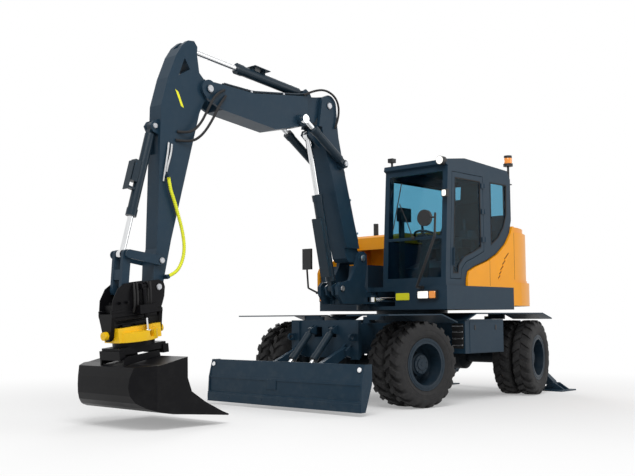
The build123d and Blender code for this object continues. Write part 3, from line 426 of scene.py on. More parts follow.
def makePlastic(name, base, rough, grain, depth=0.0006):
    # moulded plastic: leather-like grain from small cells
    finish = Finish(name)
    cells = finish.node("ShaderNodeTexVoronoi", {"feature": "F1"}, {"Vector": finish.place(), "Scale": grain})
    cloud = finish.noise(5.0, 4.0)
    finish.set(Base_Color=finish.mix(cloud, shade(base, 0.8), base), Roughness=rough + cloud * 0.1)
    finish.set(Normal=finish.bump(cells, 0.25, depth), Specular_IOR_Level=0.4)
    return finish.material


def makeGlass(name, tint, rough=0.015):
    # tinted safety glass with a hint of film
    finish = Finish(name)
    film = finish.noise(3.0, 4.0).above(0.6, 0.3)
    finish.set(Base_Color=tint, Roughness=rough + film * 0.03, Transmission_Weight=1.0, IOR=1.18)
    return finish.material


def makeLens(name, base, glow, ribs):
    # lamp lens: moulded ribs behind a glossy face, lit a little from inside; on the reflectors, which are no
    # lamps, this glow is painted light
    finish = Finish(name)
    sockets = {"Vector": finish.place(), "Scale": ribs}
    wave = finish.node("ShaderNodeTexWave", {"bands_direction": "X"}, sockets)
    finish.set(Base_Color=finish.mix(wave, shade(base, 0.85), base), Roughness=0.12)
    finish.set(Emission_Color=base, Emission_Strength=glow, Coat_Weight=0.6)
    finish.set(Normal=finish.bump(wave, 0.2, 0.001))
    return finish.material


def makeFloor():
    # white floor: part of what the camera sees is its own white, the rest is lit, so that shadows show
    finish = Finish("floorWhite")
    ray = finish.nodes.new("ShaderNodeLightPath").outputs
    seen = Wire(finish, ray["Is Camera Ray"]) + Wire(finish, ray["Is Glossy Ray"])
    seen = seen + Wire(finish, ray["Is Transmission Ray"])
    lit = finish.node("ShaderNodeBsdfDiffuse", {}, {"Color": stage["floorColour"]})
    glow = finish.node("ShaderNodeEmission", {}, {"Color": colour(1, 1, 1), "Strength": 1.0})
    # distance from the origin: the square root of x squared plus y squared
    x, y = finish.axis("X"), finish.axis("Y")
    distance = finish.node("ShaderNodeMath", {"operation": "SQRT"}, {0: x * x + y * y})
    settings = {"interpolation_type": "SMOOTHSTEP"}
    sockets = {0: distance, 1: 2.5, 2: stage["fadeEnd"], 3: stage["floorGlow"], 4: 1.0}
    factor = seen.above(0.5, 0.01) * finish.node("ShaderNodeMapRange", settings, sockets)
    both = finish.node("ShaderNodeMixShader", {}, {0: factor, 1: lit, 2: glow})
    finish.links.new(both.socket, finish.nodes["Material Output"].inputs["Surface"])
    return finish.material


stage = {
    "floorSize": 120.0,
    "floorColour": colour(0.86, 0.86, 0.86),
    "floorGlow": 0.30,
    "fadeEnd": 8.0,
    "skyLevel": 0.5,
    "lamps": {  # name: (place, aim, size, watts)
        "keyLamp": ((5.5, -7.5, 9.5), (0.0, -1.0, 1.2), 6.0, 760.0),
        "rimLamp": ((-7.5, 4.5, 7.0), (0.0, -1.0, 1.5), 5.0, 420.0),
        "sideLamp": ((8.5, 5.5, 4.0), (0.0, 0.5, 1.2), 5.0, 170.0),
    },
}

view = {
    "place": (7.53544, -9.79653, 1.01440),
    "yaw": 43.175,
    "pitch": 4.990,
    "roll": -0.319,
    "focal": 52.576,
    "sensor": 36.0,
}


def makeStage():
    half = stage["floorSize"] / 2
    mesh = bpy.data.meshes.new("floor")
    corners = [(-half, -half, 0), (half, -half, 0), (half, half, 0), (-half, half, 0)]
    mesh.from_pydata(corners, [], [(0, 1, 2, 3)])
    mesh.materials.append(makeFloor())
    floor = bpy.data.objects.new("floor", mesh)
    bpy.context.scene.collection.objects.link(floor)
    floor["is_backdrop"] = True
    for name, (place, aim, size, watts) in stage["lamps"].items():
        lamp = bpy.data.lights.new(name, "AREA")
        lamp.energy = watts
        lamp.size = size
        holder = bpy.data.objects.new(name, lamp)
        holder.location = Vector(at(*place))
        holder.rotation_euler = (Vector(aim) - Vector(place)).to_track_quat("-Z", "Y").to_euler()
        bpy.context.scene.collection.objects.link(holder)
    world = bpy.data.worlds.new("studio")
    bpy.context.scene.world = world
    world.use_nodes = True
    nodes = world.node_tree.nodes
    links = world.node_tree.links
    background = nodes["Background"]
    background.inputs["Color"].default_value = (1, 1, 1, 1)
    path = nodes.new("ShaderNodeLightPath").outputs
    seen = nodes.new("ShaderNodeMath")
    seen.operation = "ADD"
    seen.use_clamp = True
    glossy = nodes.new("ShaderNodeMath")
    glossy.operation = "ADD"
    links.new(path["Is Glossy Ray"], glossy.inputs[0])
    links.new(path["Is Transmission Ray"], glossy.inputs[1])
    links.new(path["Is Camera Ray"], seen.inputs[0])
    links.new(glossy.outputs[0], seen.inputs[1])
    level = nodes.new("ShaderNodeMapRange")
    links.new(seen.outputs[0], level.inputs["Value"])
    level.inputs["To Min"].default_value = stage["skyLevel"]
    level.inputs["To Max"].default_value = 1.0
    links.new(level.outputs[0], background.inputs["Strength"])
    bpy.context.scene.view_settings.view_transform = "Standard"


def makeCamera():
    data = bpy.data.cameras.new("camera")
    data.lens = view["focal"]
    data.sensor_width = view["sensor"]
    data.clip_end = 500
    camera = bpy.data.objects.new("camera", data)
    turn = Matrix.Rotation(math.radians(view["yaw"]), 4, "Z")
    turn = turn @ Matrix.Rotation(math.radians(90 + view["pitch"]), 4, "X")
    turn = turn @ Matrix.Rotation(math.radians(view["roll"]), 4, "Z")
    camera.matrix_world = Matrix.Translation(Vector(at(*view["place"]))) @ turn
    bpy.context.scene.collection.objects.link(camera)
    bpy.context.scene.camera = camera


makeCamera()
makeStage()
print("stage and camera ready")

finishes = {name: makeEnamel(name, *values) for name, values in enamels.items()}
finishes["tyreRubber"] = makeRubber("tyreRubber", colour(0.010, 0.010, 0.011), 90.0, 0.12)
finishes["hoseRubber"] = makeRubber("hoseRubber", colour(0.010, 0.010, 0.011), 260.0, 0.1)
finishes["sealRubber"] = makeRubber("sealRubber", colour(0.008, 0.008, 0.009), 300.0, 0.05)
finishes["rodChrome"] = makeMetal("rodChrome", colour(0.78, 0.79, 0.80), 0.16, (1.0, 1.0, 0.05))
finishes["zincPipe"] = makeMetal("zincPipe", colour(0.62, 0.63, 0.64), 0.32, (1.0, 1.0, 0.2))
finishes["boltSteel"] = makeMetal("boltSteel", colour(0.42, 0.43, 0.45), 0.38, (1.0, 1.0, 1.0))
finishes["engineIron"] = makeMetal("engineIron", colour(0.06, 0.06, 0.06), 0.6, (1.0, 1.0, 1.0), 0.4)
finishes["grainedPlastic"] = makePlastic("grainedPlastic", colour(0.017, 0.018, 0.020), 0.5, 700.0)
finishes["cabTrimPlastic"] = makePlastic("cabTrimPlastic", colour(0.035, 0.036, 0.040), 0.62, 500.0)
finishes["seatCloth"] = makePlastic("seatCloth", colour(0.022, 0.022, 0.025), 0.85, 260.0, 0.0015)
finishes["cabGlass"] = makeGlass("cabGlass", colour(0.30, 0.55, 0.66))
finishes["whiteLens"] = makeLens("whiteLens", colour(0.96, 0.94, 0.88), 0.60, 40.0)
finishes["amberLens"] = makeLens("amberLens", colour(0.95, 0.30, 0.02), 0.12, 60.0)
finishes["redLens"] = makeLens("redLens", colour(0.55, 0.01, 0.01), 0.08, 60.0)
# the reflectors are no lamps: their faint glow is painted light, a painted sheen
finishes["reflectorWhitePaintedGlow"] = makeLens("reflectorWhitePaintedGlow", colour(0.92, 0.93, 0.95), 0.10, 120.0)
finishes["mirrorSilver"] = makeMetal("mirrorSilver", colour(0.85, 0.87, 0.88), 0.04, (1.0, 1.0, 1.0))
finishes["plateYellow"] = makePlastic("plateYellow", colour(0.85, 0.82, 0.02), 0.45, 900.0, 0.0002)
finishes["hoseYellow"] = makePlastic("hoseYellow", colour(0.80, 0.83, 0.02), 0.38, 500.0, 0.0002)

nodeFinish = {
    "slateEnamel": ["chassis_frame", "fenders_and_boxes", "dozer_blade", "stabiliser_left",
                    "stabiliser_right", "platform", "cab_shell", "cab_door", "swing_post", "boom_lower",
                    "boom_upper", "arm", "rocker_arms", "bucket_link"],
    "axleEnamel": ["axles", "knuckle_front_left", "knuckle_front_right", "knuckle_rear_left",
                   "knuckle_rear_right"],
    "rimEnamel": ["wheel_front_left", "wheel_front_right", "wheel_rear_left", "wheel_rear_right"],
    "amberEnamel": ["counterweight", "body_covers", "engine_hood"],
    "toolYellowEnamel": ["tilt_housing"],
    "toolBlackEnamel": ["rotator_frame", "hitch", "bucket", "tilt_barrel_left", "tilt_barrel_right"],
    "cylinderEnamel": ["blade_barrels", "leg_barrel_left", "leg_barrel_right", "swing_barrel", "lift_barrel",
                       "adjust_barrels", "arm_barrel", "bucket_barrel"],
    "rodChrome": ["blade_rods", "leg_rod_left", "leg_rod_right", "swing_rod", "lift_rod", "adjust_rods",
                  "arm_rod", "bucket_rod", "tilt_rod_left", "tilt_rod_right"],
    "tyreRubber": ["tyres_front_left", "tyres_front_right", "tyres_rear_left", "tyres_rear_right"],
    "grainedPlastic": ["lamps_and_mirrors"],
    "cabTrimPlastic": ["cab_interior"],
    "cabGlass": ["cab_glass", "door_glass"],
    "engineIron": ["engine_block"],
}
for finishName, names in nodeFinish.items():
    for name in names:
        frame["nodes"][name].data.materials.clear()
        frame["nodes"][name].data.materials.append(finishes[finishName])
print("finishes on", sum(len(names) for names in nodeFinish.values()), "nodes")


# ---- helpers for the pieces
corners = [(end, side) for end in ("front", "rear") for side in ("left", "right")]


def outward(end, side):
    # the roll axis pointing away from the machine
    axis = np.array(joints[f"roll_{end}_{side}"]["axis"], float)
    return axis if side == "left" else -axis


def ringPlate(outline, inset, x0, x1):
    # a flat frame: the outline and the same drawn in, both at x0 and x1
    outer = np.array(outline, float)
    inner = insetOutline(outer, inset)
    rings = [(outer, x0), (outer, x1), (inner, x1), (inner, x0)]
    points = np.stack([np.column_stack([np.full(len(ring), x), ring]) for ring, x in rings])
    return makeGrid(points + middle, closeU=True, closeV=True)


def arcBar(centreY, start, end, profile, steps=24):
    # (radius, z) profile carried round the upright axis at x 0 and centreY: (r sin a, centreY + r cos a, z)
    angle = np.radians(np.linspace(start, end, steps))[:, None]
    r, z = np.array(profile, float).T
    upright = np.broadcast_to(z, (steps, len(r)))
    points = np.stack([r * np.sin(angle), centreY + r * np.cos(angle), upright], -1)
    return makeGrid(points + middle, closeV=True, capEnds=True)


def splinePoints(controls):
    # points along a NURBS line that has the controls as its control points
    data = bpy.data.curves.new("route", "CURVE")
    data.dimensions = "3D"
    spline = data.splines.new("NURBS")
    spline.points.add(len(controls) - 1)
    spline.points.foreach_set("co", np.column_stack([controls, np.ones(len(controls))]).ravel())
    spline.order_u = 3
    spline.use_endpoint_u = True
    spline.resolution_u = 12
    holder = bpy.data.objects.new("route", data)
    mesh = bpy.data.meshes.new_from_object(holder)
    points = np.zeros(len(mesh.vertices) * 3)
    mesh.vertices.foreach_get("co", points)
    bpy.data.objects.remove(holder)
    bpy.data.meshes.remove(mesh)
    return points.reshape(-1, 3)


def makeHose(name, controls, radius, bodies):
    path = splinePoints(np.array(controls))
    blended = len(bodies) == 2
    piece = makePiece(name, tube(path, radius, 10), finishes["hoseRubber"], None if blended else bodies[0])
    if blended:
        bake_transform(piece)
    2 * radius


# ---- tyres: a section turned round the axle, its lugs in two staggered slanted rows
tyre = {
    "lugs": 21,
    "slant": 0.50,
    "outer": 0.273,
    "twin": 0.268,
    "steps": [(0.0, 0.0), (0.05, 1.0), (0.28, 1.0), (0.52, 1.0), (0.57, 0.0), (0.78, 0.0)],
    "half": [  # (offset, radius on a lug, radius between lugs)
        (0.006, 0.4922, 0.4655), (0.040, 0.4920, 0.4650), (0.080, 0.4905, 0.4630), (0.095, 0.4860, 0.4590),
        (0.106, 0.4700, 0.4480), (0.112, 0.4540, 0.4390), (0.116, 0.4320, 0.4270), (0.1175, 0.4100, 0.4100),
        (0.1178, 0.390, 0.390), (0.1150, 0.386, 0.386), (0.1165, 0.360, 0.360), (0.1150, 0.350, 0.350),
        (0.1175, 0.346, 0.346), (0.1120, 0.330, 0.330), (0.1050, 0.313, 0.313), (0.0950, 0.301, 0.301),
        (0.0920, 0.260, 0.260),
    ],
}


def tyrePart():
    # angle of point (u, v) = pitch (u + half a step across the middle + slant times the offset's size)
    half = np.array(tyre["half"])
    section = np.concatenate([half[::-1] * [-1, 1, 1], half])
    offset, top, low = section.T
    fraction, height = np.array(tyre["steps"]).T
    u = (np.arange(tyre["lugs"])[:, None] + fraction).ravel()[:, None]
    raised = np.tile(height, tyre["lugs"])[:, None]
    shear = 0.5 * (offset > 0) + tyre["slant"] * np.minimum(np.abs(offset), 0.112) / 0.112
    angle = 2 * math.pi / tyre["lugs"] * (u + shear)
    radius = low + (top - low) * raised
    across = np.broadcast_to(offset, angle.shape)
    points = np.stack([radius * np.cos(angle), radius * np.sin(angle), across], -1)
    return makeGrid(points, closeU=True, closeV=True)


def boltRing(base, count, radius, height, start=0.0):
    # one place for each bolt: radius times (cos, sin) of its angle, at the height
    turns = np.arange(count) * 2 * math.pi / count + start
    spots = [Matrix.Translation((radius * math.cos(t), radius * math.sin(t), height)) for t in turns]
    return [base @ np.array(spot) for spot in spots]


hub = {
    "nuts": 10,
    "nutRing": 0.139,
    "nutPlane": 0.160,
    "nut": (0.0085, 0.016),  # (radius, height)
    "capBolts": 8,
    "capRing": 0.088,
    "capPlane": 0.292,
    "capTurn": 0.2,
    "capBolt": (0.006, 0.006),
    "cap": [(0.290, 0.066), (0.299, 0.066), (0.302, 0.062), (0.302, 0.022), (0.306, 0.020), (0.306, 0.008)],
    "lockRing": [(0.3715, 0.2660), (0.3765, 0.2675), (0.3765, 0.2735), (0.3715, 0.2750)],
}
oneTyre = tyrePart()
for end, side in corners:
    centre = pin(f"roll_{end}_{side}")
    axis = outward(end, side)
    mates = [movePart(oneTyre, placeAt(centre + axis * offset, axis))
             for offset in (tyre["outer"], tyre["outer"] - tyre["twin"])]
    wheel = f"wheel_{end}_{side}"
    makePiece(f"treads_{end}_{side}", mates, finishes["tyreRubber"], wheel, 28,
              [f"tyres_{end}_{side}"])
    base = placeAt(centre, axis)
    nutPlaces = boltRing(base, hub["nuts"], hub["nutRing"], hub["nutPlane"])
    capPlaces = boltRing(base, hub["capBolts"], hub["capRing"], hub["capPlane"], hub["capTurn"])
    details = [copyPart(boltHead(*hub["nut"]), nutPlaces), copyPart(boltHead(*hub["capBolt"]), capPlaces),
               movePart(lathe(hub["cap"], 36), base), movePart(lathe(hub["lockRing"], 64, closed=True), base)]
    makePiece(f"hubDetails_{end}_{side}", details, finishes["rimEnamel"], wheel)
print("tyres and hubs done")


# ---- lamps, reflectors and blank plates
lights = {
    "whiteLens": [((0.905, -0.911, 1.293), (0.152, 0.084, 0.012)),
                  ((-0.980, -0.541, 1.298), (0.104, 0.084, 0.012)),
                  ((1.221, -0.894, 2.485), (0.054, 0.072, 0.010))],
    "amberLens": [((1.041, -0.911, 1.293), (0.092, 0.084, 0.012)),
                  ((-1.077, -0.541, 1.298), (0.066, 0.084, 0.012))],
    "plateYellow": [((0.572, -0.8735, 1.277), (0.207, 0.086, 0.007))],
}
for finishName, blocks in lights.items():
    parts = [brickAt(at(*place), size, (0, -1, 0), corner=0.012, bevel=0.004) for place, size in blocks]
    makePiece(f"front_{finishName}", parts, finishes[finishName], "upper")
beaconLens = [(3.020, 0.0535), (3.085, 0.0535), (3.112, 0.047), (3.127, 0.030), (3.131, 0.010)]
beacon = turnedAt(at(1.150, 0.655, 0), (0, 0, 1), beaconLens, 32)
makePiece("beaconLens", beacon, finishes["amberLens"], "upper")
roofLens = [(-0.002, 0.047), (0.004, 0.047), (0.008, 0.036), (0.010, 0.012)]
roofLamp = turnedAt(at(1.150, -0.868, 2.885), (0, -1, 0), roofLens, 32)
makePiece("roofLampLens", roofLamp, finishes["whiteLens"], "upper")
tail = {"centre": 0.640, "reach": 1.210, "lean": 52, "height": 1.330}
for side, label in ((1, "left"), (-1, "right")):
    lean = math.radians(tail["lean"])
    away = np.array([side * math.sin(lean), math.cos(lean), 0])
    along = np.array([side * math.cos(lean), -math.sin(lean), 0])
    spot = at(0, tail["centre"], tail["height"]) + away * tail["reach"]
    for colourName, step in (("Red", -0.052), ("Amber", 0.052)):
        lens = brickAt(spot + step * along, (0.094, 0.086, 0.030), away, corner=0.01)
        glass = finishes[f"{colourName.lower()}Lens"]
        makePiece(f"tailLamp{colourName}_{label}", lens, glass, "upper")
discs = [turnedAt(at(1.100, -1.0915, 2.180), (0, 1, 0), [(0, 0.086), (0.002, 0.086), (0.003, 0.083)], 40),
         brickAt(at(-1.265, -0.6045, 1.832), (0.136, 0.260, 0.004), (0, 1, 0), corner=0.02, bevel=0.001)]
makePiece("mirrorGlass", discs, finishes["mirrorSilver"], "upper")
print("lamps done")


# ---- cab: seals round the panes, wiper, grab rail and seat pads
doorPane = [(-0.700, 1.545), (-0.700, 1.578), (-0.632, 2.705), (-0.092, 2.705), (-0.092, 1.880),
            (-0.285, 1.805), (-0.462, 1.745), (-0.578, 1.640), (-0.592, 1.545)]
quarterPane = [(0.130, 2.720), (0.130, 1.920), (0.300, 2.020), (0.430, 2.160), (0.500, 2.330),
               (0.515, 2.720)]
sidePane = [(-0.700, 1.960), (-0.665, 2.750), (0.500, 2.750), (0.500, 2.330), (0.330, 2.060),
            (0.100, 1.960)]
cabLow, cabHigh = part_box("cab_shell")
leftFace, rightFace = cabHigh[0], cabLow[0]
doorSeals = [ringPlate(doorPane, 0.014, leftFace - 0.007, leftFace + 0.002)]
makePiece("doorPaneSeal", doorSeals, finishes["sealRubber"], "cab_door")
sideSeals = [ringPlate(quarterPane, 0.016, leftFace - 0.007, leftFace + 0.003),
             ringPlate(sidePane, 0.020, rightFace - 0.003, rightFace + 0.007)]
makePiece("sidePaneSeals", sideSeals, finishes["sealRubber"], "upper")


def onScreen(x, z, out=0.0):
    # 6 mm in front of the windscreen, which leans back from (y -0.834, z 1.574) to (y -0.771, z 2.770)
    lean = (z - 1.574) / (2.770 - 1.574)
    return at(x, -0.840 + 0.063 * lean - out, z)


wiperArm = [onScreen(0.72, 1.985, 0.030), onScreen(0.62, 2.20, 0.024), onScreen(0.50, 2.42, 0.018)]
wiperBlade = [onScreen(0.40, 2.10, 0.012), onScreen(0.52, 2.68, 0.012)]
spindle = [(0, 0.022), (0.038, 0.022), (0.042, 0.016)]
wiper = [tube(bend(wiperArm, 0.03), 0.006, 8), tube(np.array(wiperBlade), 0.007, 6),
         turnedAt(onScreen(0.72, 1.985, -0.004), (0, -1, 0), spindle, 16)]
makePiece("wiper", wiper, finishes["grainedPlastic"], "upper")
rail = bend([at(1.115, -0.700, 1.66), at(1.085, -0.690, 1.70), at(1.085, -0.640, 2.30),
             at(1.115, -0.650, 2.34)], 0.04)
makePiece("grabRail", tube(rail, 0.012, 10), finishes["grainedPlastic"], "upper")
seat = [brickAt(at(0.730, 0.012, 2.010), (0.44, 0.36, 0.034), (0, 0, 1), corner=0.06, bevel=0.014)]
backLean = (0, -0.974, 0.227)
seat.append(brickAt(at(0.730, 0.276, 2.285), (0.42, 0.46, 0.034), backLean, corner=0.07, bevel=0.014))
makePiece("seatPads", seat, finishes["seatCloth"], "upper")
print("cab done")


# ---- covers: painted shade of the louvre slots, seams, rear grille, hood catches
louvre = {
    "count": 5,
    "y": 0.300,
    "z": 1.546,
    "stepY": 0.038,
    "stepZ": 0.062,
    "run": 0.230,
    "cut": 0.034,  # how much shorter each slot is than its neighbour nearer the middle
    "along": (0.31, 0.25),
    "lift": (-0.008, 0.010),
    "faces": (1.2205, 1.2235),
}
seam = {
    "half": 0.0025,
    "faces": (1.2215, 1.2228),
    "lines": ((0.060, 1.410, 1.730), (0.636, 1.505, 2.110)),  # (y, low z, high z)
}
# the louvre slots are not cut: dark rubber sheets on the cover's face are painted shade for their openings;
# the seam strips are dark strips along the panel seams
slotShadeAndSeams = []
for i in range(louvre["count"]):
    middleY = louvre["y"] + louvre["stepY"] * i
    middleZ = louvre["z"] + louvre["stepZ"] * i
    run = louvre["run"] - louvre["cut"] * abs(i - 2)
    reach = run * np.array(louvre["along"])
    a = np.array([middleY, middleZ]) - reach
    b = np.array([middleY, middleZ]) + reach
    lift = np.array(louvre["lift"])
    slotShadeAndSeams.append(plateX([a + lift, b + lift, b + 0.2 * lift, a + 0.2 * lift], *louvre["faces"], 0.0004))
for y, low, high in seam["lines"]:
    front, back = y - seam["half"], y + seam["half"]
    strip = [(front, low), (back, low), (back, high), (front, high)]
    slotShadeAndSeams.append(plateX(strip, *seam["faces"], 0.0003))
makePiece("louvreSlotShadeAndSeams", slotShadeAndSeams, finishes["sealRubber"], "upper")
grille = {
    "centre": 0.595,
    "sweep": 53.0,
    "low": 1.512,
    "high": 1.960,
    "slats": 12,
    "slat": [(1.196, -0.006), (1.211, -0.012), (1.213, -0.006), (1.198, 0.008)],  # (radius, height)
    "back": (1.1945, 1.1965),
    "ribs": (1.196, 1.214),
    "ribTurns": (-51, -26, 0, 26, 51),
}


def grilleBar(radii, start, end, steps):
    # a bar of the grille's whole height between two radii and two angles
    (inner, outer), low, high = radii, grille["low"], grille["high"]
    section = [(inner, low), (outer, low), (outer, high), (inner, high)]
    return arcBar(grille["centre"], start, end, section, steps)


bars = []
for z in np.linspace(grille["low"] + 0.02, grille["high"] - 0.02, grille["slats"]):
    slat = [(radius, z + height) for radius, height in grille["slat"]]
    bars.append(arcBar(grille["centre"], -grille["sweep"], grille["sweep"], slat))
bars.append(grilleBar(grille["back"], -grille["sweep"], grille["sweep"], 24))
bars += [grilleBar(grille["ribs"], turn - 0.5, turn + 0.5, 3) for turn in grille["ribTurns"]]
makePiece("rearGrille", bars, finishes["grainedPlastic"], "upper")
catches = [brickAt(at(x, 1.345, 2.229), (0.070, 0.030, 0.012), corner=0.008) for x in (-0.45, 0.45)]
makePiece("hoodCatches", catches, finishes["grainedPlastic"], "engine_hood")
print("covers done")


# ---- steps, boxes and blade
steps = [plateX([(-0.330, 0.600), (0.345, 0.600), (0.345, 0.975), (-0.330, 0.975)], 1.164, 1.1695, 0.002)]
steps += [mirrorPart(steps[0])]
latches = [brickAt(at(1.171, y, 0.900), (0.030, 0.060, 0.010), (1, 0, 0), corner=0.006)
           for y in (-0.22, 0.24)]
makePiece("boxDoors", steps, finishes["slateEnamel"], "undercarriage")
makePiece("boxLatches", [bothSides(part) for part in latches], finishes["grainedPlastic"], "undercarriage")
# a dark rubber sheet at the back of each step recess: painted shade of the recess, behind the tread ribs
treads = [brickAt(at(1.06, -0.427, 0.80), (0.17, 0.30, 0.006), (0, -1, 0), corner=0.012, bevel=0.002)]
makePiece("stepRecessShade", [bothSides(part) for part in treads], finishes["sealRubber"], "undercarriage")
ribs = [brickAt(at(1.06, -0.434, z), (0.150, 0.016, 0.012), (0, -1, 0), corner=0.003)
        for z in (0.69, 0.77, 0.85, 0.92)]
makePiece("stepTreads", [bothSides(part) for part in ribs], finishes["boltSteel"], "undercarriage")
edge = plateX([(-2.431, 0.040), (-2.431, 0.128), (-2.424, 0.134), (-2.424, 0.040)], -1.218, 1.218, 0.0005)
edgeBolts = [placeAt(at(x, -2.430, 0.095), (0, -1, 0)) for x in np.linspace(-1.10, 1.10, 9)]
lip = plateX([(-2.407, 0.318), (-2.4035, 0.342), (-2.398, 0.345), (-2.398, 0.318)], -1.198, 1.198, 0.0005)
pad = brickAt(at(-0.13, -2.407, 0.275), (0.150, 0.110, 0.010), (0, -1, 0), corner=0.004)
bladeParts = [edge, copyPart(boltHead(0.010, 0.005), edgeBolts), lip, pad]
makePiece("bladeFace", bladeParts, finishes["slateEnamel"], "blade")
disc = [(0, 0.026), (0.008, 0.026), (0.010, 0.022)]
# white reflectors on the blade; their finish glows a little, which is painted light
reflectors = [turnedAt(at(side * 1.165, -2.374, 0.480), (0, -0.975, 0.22), disc, 24) for side in (-1, 1)]
makePiece("bladeReflectors", reflectors, finishes["reflectorWhitePaintedGlow"], "blade")
print("undercarriage done")


# ---- boom: pins, pipes, clamps, plates
def pinCap(x, y, z, radius, side):
    # a pin's end: collar, keeper plate's round and grease nipple's boss
    profile = [(0, radius * 1.15), (0.006, radius * 1.15), (0.008, radius), (0.012, radius * 0.95),
               (0.012, 0.008)]
    return turnedAt(at(side * x, y, z), (side, 0, 0), profile, 28)


caps = {
    "swing_post": [(0.172, -1.135, 1.755, 0.034), (0.172, -1.515, 1.375, 0.030)],
    "boom_lower": [(0.156, -1.710, 3.560, 0.034), (0.247, -1.518, 2.869, 0.028)],
    "boom_upper": [(0.150, -3.560, 3.440, 0.034)],
    "arm": [(0.140, -4.165, 1.600, 0.026), (0.115, -4.180, 1.340, 0.028), (0.060, -4.205, 2.960, 0.024)],
}
for body, places in caps.items():
    parts = [pinCap(*place, side) for place in places for side in (-1, 1)]
    makePiece(f"pinCaps_{body}", parts, finishes["boltSteel"], body)


def pipeRun(points, offsets, radius):
    # parallel pipes along the (y, z) points, one at each x
    return [tube(bend([at(x, y, z) for y, z in points], 0.05), radius, 10) for x in offsets]


backPipes = pipeRun([(-1.150, 1.96), (-1.420, 2.80), (-1.520, 3.18)], (-0.10, -0.06, 0.06, 0.10), 0.011)
backClamps = [brickAt(at(0, y, z), (0.25, 0.030, 0.030), (0, 0.958, 0.287), corner=0.004)
              for y, z in ((-1.178, 2.06), (-1.307, 2.46), (-1.414, 2.79))]
makePiece("lowerPipes", backPipes, finishes["cylinderEnamel"], "boom_lower")
makePiece("lowerClamps", backClamps, finishes["boltSteel"], "boom_lower")
topPipes = pipeRun([(-2.02, 3.655), (-2.271, 3.612), (-2.918, 3.526), (-3.34, 3.540)],
                   (-0.115, -0.085, 0.085, 0.115), 0.011)
makePiece("upperPipes", topPipes, finishes["cylinderEnamel"], "boom_upper")
upperClamps = [brickAt(at(side * 0.100, y, z), (0.062, 0.030, 0.028), (0, 0.13, 0.99), corner=0.004)
               for y, z in ((-2.45, 3.582), (-2.95, 3.520)) for side in (-1, 1)]
makePiece("upperClamps", upperClamps, finishes["boltSteel"], "boom_upper")
armPipes = [tube(bend([at(0.106, -4.070, 2.800), at(0.112, -4.085, 2.700), at(0.112, -4.120, 2.500),
                       at(0.104, -4.130, 2.400)], 0.05), 0.011, 10),
            tube(bend([at(0.106, -4.030, 2.790), at(0.112, -4.045, 2.690), at(0.112, -4.085, 2.560),
                       at(0.104, -4.095, 2.500)], 0.05), 0.011, 10)]
makePiece("armPipes", armPipes, finishes["zincPipe"], "arm")
armPlate = np.array([(-3.983, 3.368), (-3.945, 3.350), (-3.870, 3.190), (-3.909, 3.206)])
makePiece("armPlate", plateX(armPlate[::-1], 0.0945, 0.0975, 0.0005), finishes["plateYellow"], "arm")
print("boom and arm done")

# ---- tiltrotator: valve blocks, swivel and hoses, in the frame that leans with it
rotor = {"y": -4.405, "z": 0.9, "pitch": math.radians(7.0)}
rotorUp = (0, -math.sin(rotor["pitch"]), math.cos(rotor["pitch"]))
rotorAlong = (0, math.cos(rotor["pitch"]), math.sin(rotor["pitch"]))


def onRotor(x, y, z):
    # (x, y, z) from the tilt axis, y along it and z away from the ground
    ahead = rotor["y"] + y * rotorAlong[1] + z * rotorUp[1]
    above = rotor["z"] + y * rotorAlong[2] + z * rotorUp[2]
    return at(x, ahead, above)


def rotorBricks(places):
    return [brickAt(onRotor(*place), size, rotorAlong, rotorUp, corner=0.006) for place, size in places]


valves = rotorBricks([((0, -0.135, 0.245), (0.168, 0.078, 0.220)),
                      ((0, 0.075, 0.226), (0.150, 0.040, 0.150)),
                      ((0, -0.005, 0.149), (0.176, 0.042, 0.500)),
                      ((0.050, -0.190, 0.290), (0.050, 0.026, 0.070)),
                      ((-0.045, -0.160, 0.289), (0.060, 0.022, 0.090))])
valves += rotorBricks([((side * 0.0985, -0.003, 0.218), (0.025, 0.036, 0.592)) for side in (-1, 1)])
fitting = [(0, 0.015), (0.026, 0.015), (0.026, 0.010), (0.040, 0.010), (0.040, 0)]
valves += [turnedAt(onRotor(x, y, 0.272), rotorUp, fitting, 12)
           for x in (-0.020, 0.015) for y in (-0.215, -0.175, -0.135)]
valves += [turnedAt(onRotor(side * 0.111, y, 0.300), (side, 0, 0), fitting, 12)
           for side in (-1, 1) for y in (-0.20, -0.12)]
makePiece("rotatorValves", valves, finishes["toolBlackEnamel"], "rotator_frame")
swivel = rotorBricks([((0, 0, 0.082), (0.088, 0.048, 0.380)), ((0, 0, 0.110), (0.050, 0.022, 0.370)),
                      ((0.060, -0.120, 0.072), (0.040, 0.030, 0.090)),
                      ((-0.060, 0.110, 0.072), (0.040, 0.030, 0.090))])
swivel += [turnedAt(onRotor(side * 0.036, y, 0.066), (side, 0, 0), fitting, 12)
           for side in (-1, 1) for y in (-0.15, 0, 0.15)]
makePiece("rotatorSwivel", swivel, finishes["toolBlackEnamel"], "tilt_housing")
hoseRanks = {"left": (1, (-0.055, -0.018, 0.104, 0.136)), "right": (-1, (-0.030, 0.110))}
for label, (side, ranks) in hoseRanks.items():
    for rank, y in enumerate(ranks):
        drop = [(0.119, y, 0.200), (0.142, y, 0.235), (0.150, y + 0.004, 0.310), (0.146, y + 0.012, 0.390),
                (0.132, y + 0.022, 0.440), (0.118, y + 0.034, 0.470)]
        controls = [onRotor(side * x, along, rise) for x, along, rise in drop]
        makeHose(f"rotatorHose_{label}_{rank}", controls, 0.012, ("rotator_frame",))
print("tiltrotator done")

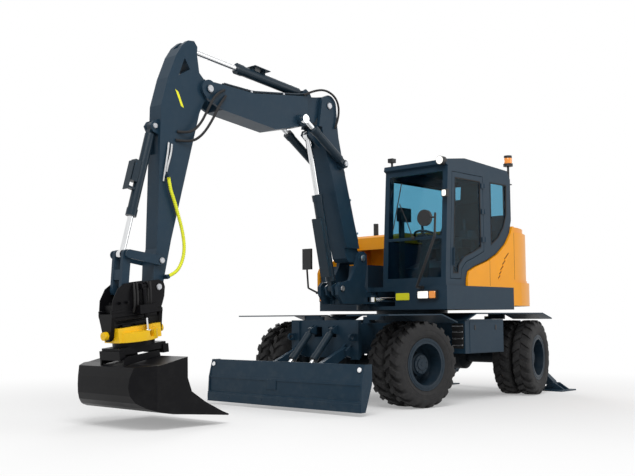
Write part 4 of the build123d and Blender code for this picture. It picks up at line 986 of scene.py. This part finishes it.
# the tool's yellow hose bundle, a helix of guard strip round the route's line
bundle = {"route": [(-4.088, 2.440), (-4.070, 2.330), (-4.016, 2.215), (-3.963, 2.070), (-3.911, 1.921),
                    (-3.880, 1.760), (-3.895, 1.640), (-3.938, 1.545), (-4.000, 1.480), (-4.085, 1.447)],
          "x": 0.134, "radius": 0.018, "pitch": 0.022, "length": 1.116}
line = splinePoints(np.array([at(bundle["x"], y, z) for y, z in bundle["route"]]))
run = np.concatenate([[0], np.cumsum(np.linalg.norm(np.diff(line, axis=0), axis=1))])
stations = np.linspace(0, run[-1], 420)
dense = np.stack([np.interp(stations, run, line[:, i]) for i in range(3)], 1)
points, quads, capFaces = tube(dense, 1.0, 14)
turnAngle = np.arange(14) * 2 * math.pi / 14
groove = np.cos(2 * math.pi * stations[:, None] / bundle["pitch"] + turnAngle[None, :])
reach = bundle["radius"] * (1 - 0.20 * np.clip(groove - 0.35, 0, 1) / 0.65)
spokes = points.reshape(len(dense), 14, 3) - dense[:, None, :]
points = (dense[:, None, :] + spokes * reach[:, :, None]).reshape(-1, 3)
hose = makePiece("hoseBundle", (points, quads, capFaces), finishes["hoseYellow"], "arm", 40,
                 ["tool_hose"])

# black hoses: (bodies, radius, control points)
armBodies = ("boom_upper", "arm")
kneeBodies = ("boom_lower", "boom_upper")
kneeLoop = [(0.165, -1.62, 3.30), (0.185, -1.56, 3.46), (0.185, -1.60, 3.66), (0.175, -1.78, 3.74),
            (0.160, -1.98, 3.70), (0.150, -2.14, 3.62)]
hoses = {
    "armLoopOuter": (armBodies, 0.014, [(0.142, -3.36, 3.46), (0.170, -3.50, 3.40), (0.180, -3.62, 3.20),
                                        (0.172, -3.72, 3.02), (0.150, -3.84, 2.92), (0.102, -3.96, 2.93)]),
    "armLoopInner": (armBodies, 0.014, [(0.142, -3.34, 3.40), (0.165, -3.44, 3.30), (0.172, -3.55, 3.10),
                                        (0.165, -3.68, 2.92), (0.145, -3.82, 2.83), (0.102, -3.98, 2.84)]),
    "kneeLoopLeft": (kneeBodies, 0.013, kneeLoop),
    "kneeLoopRight": (kneeBodies, 0.013, [(-x, y, z) for x, y, z in kneeLoop]),
}
for name, (bodies, radius, controls) in hoses.items():
    makeHose(name, [at(*point) for point in controls], radius, bodies)
print("hoses done")


low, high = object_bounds()
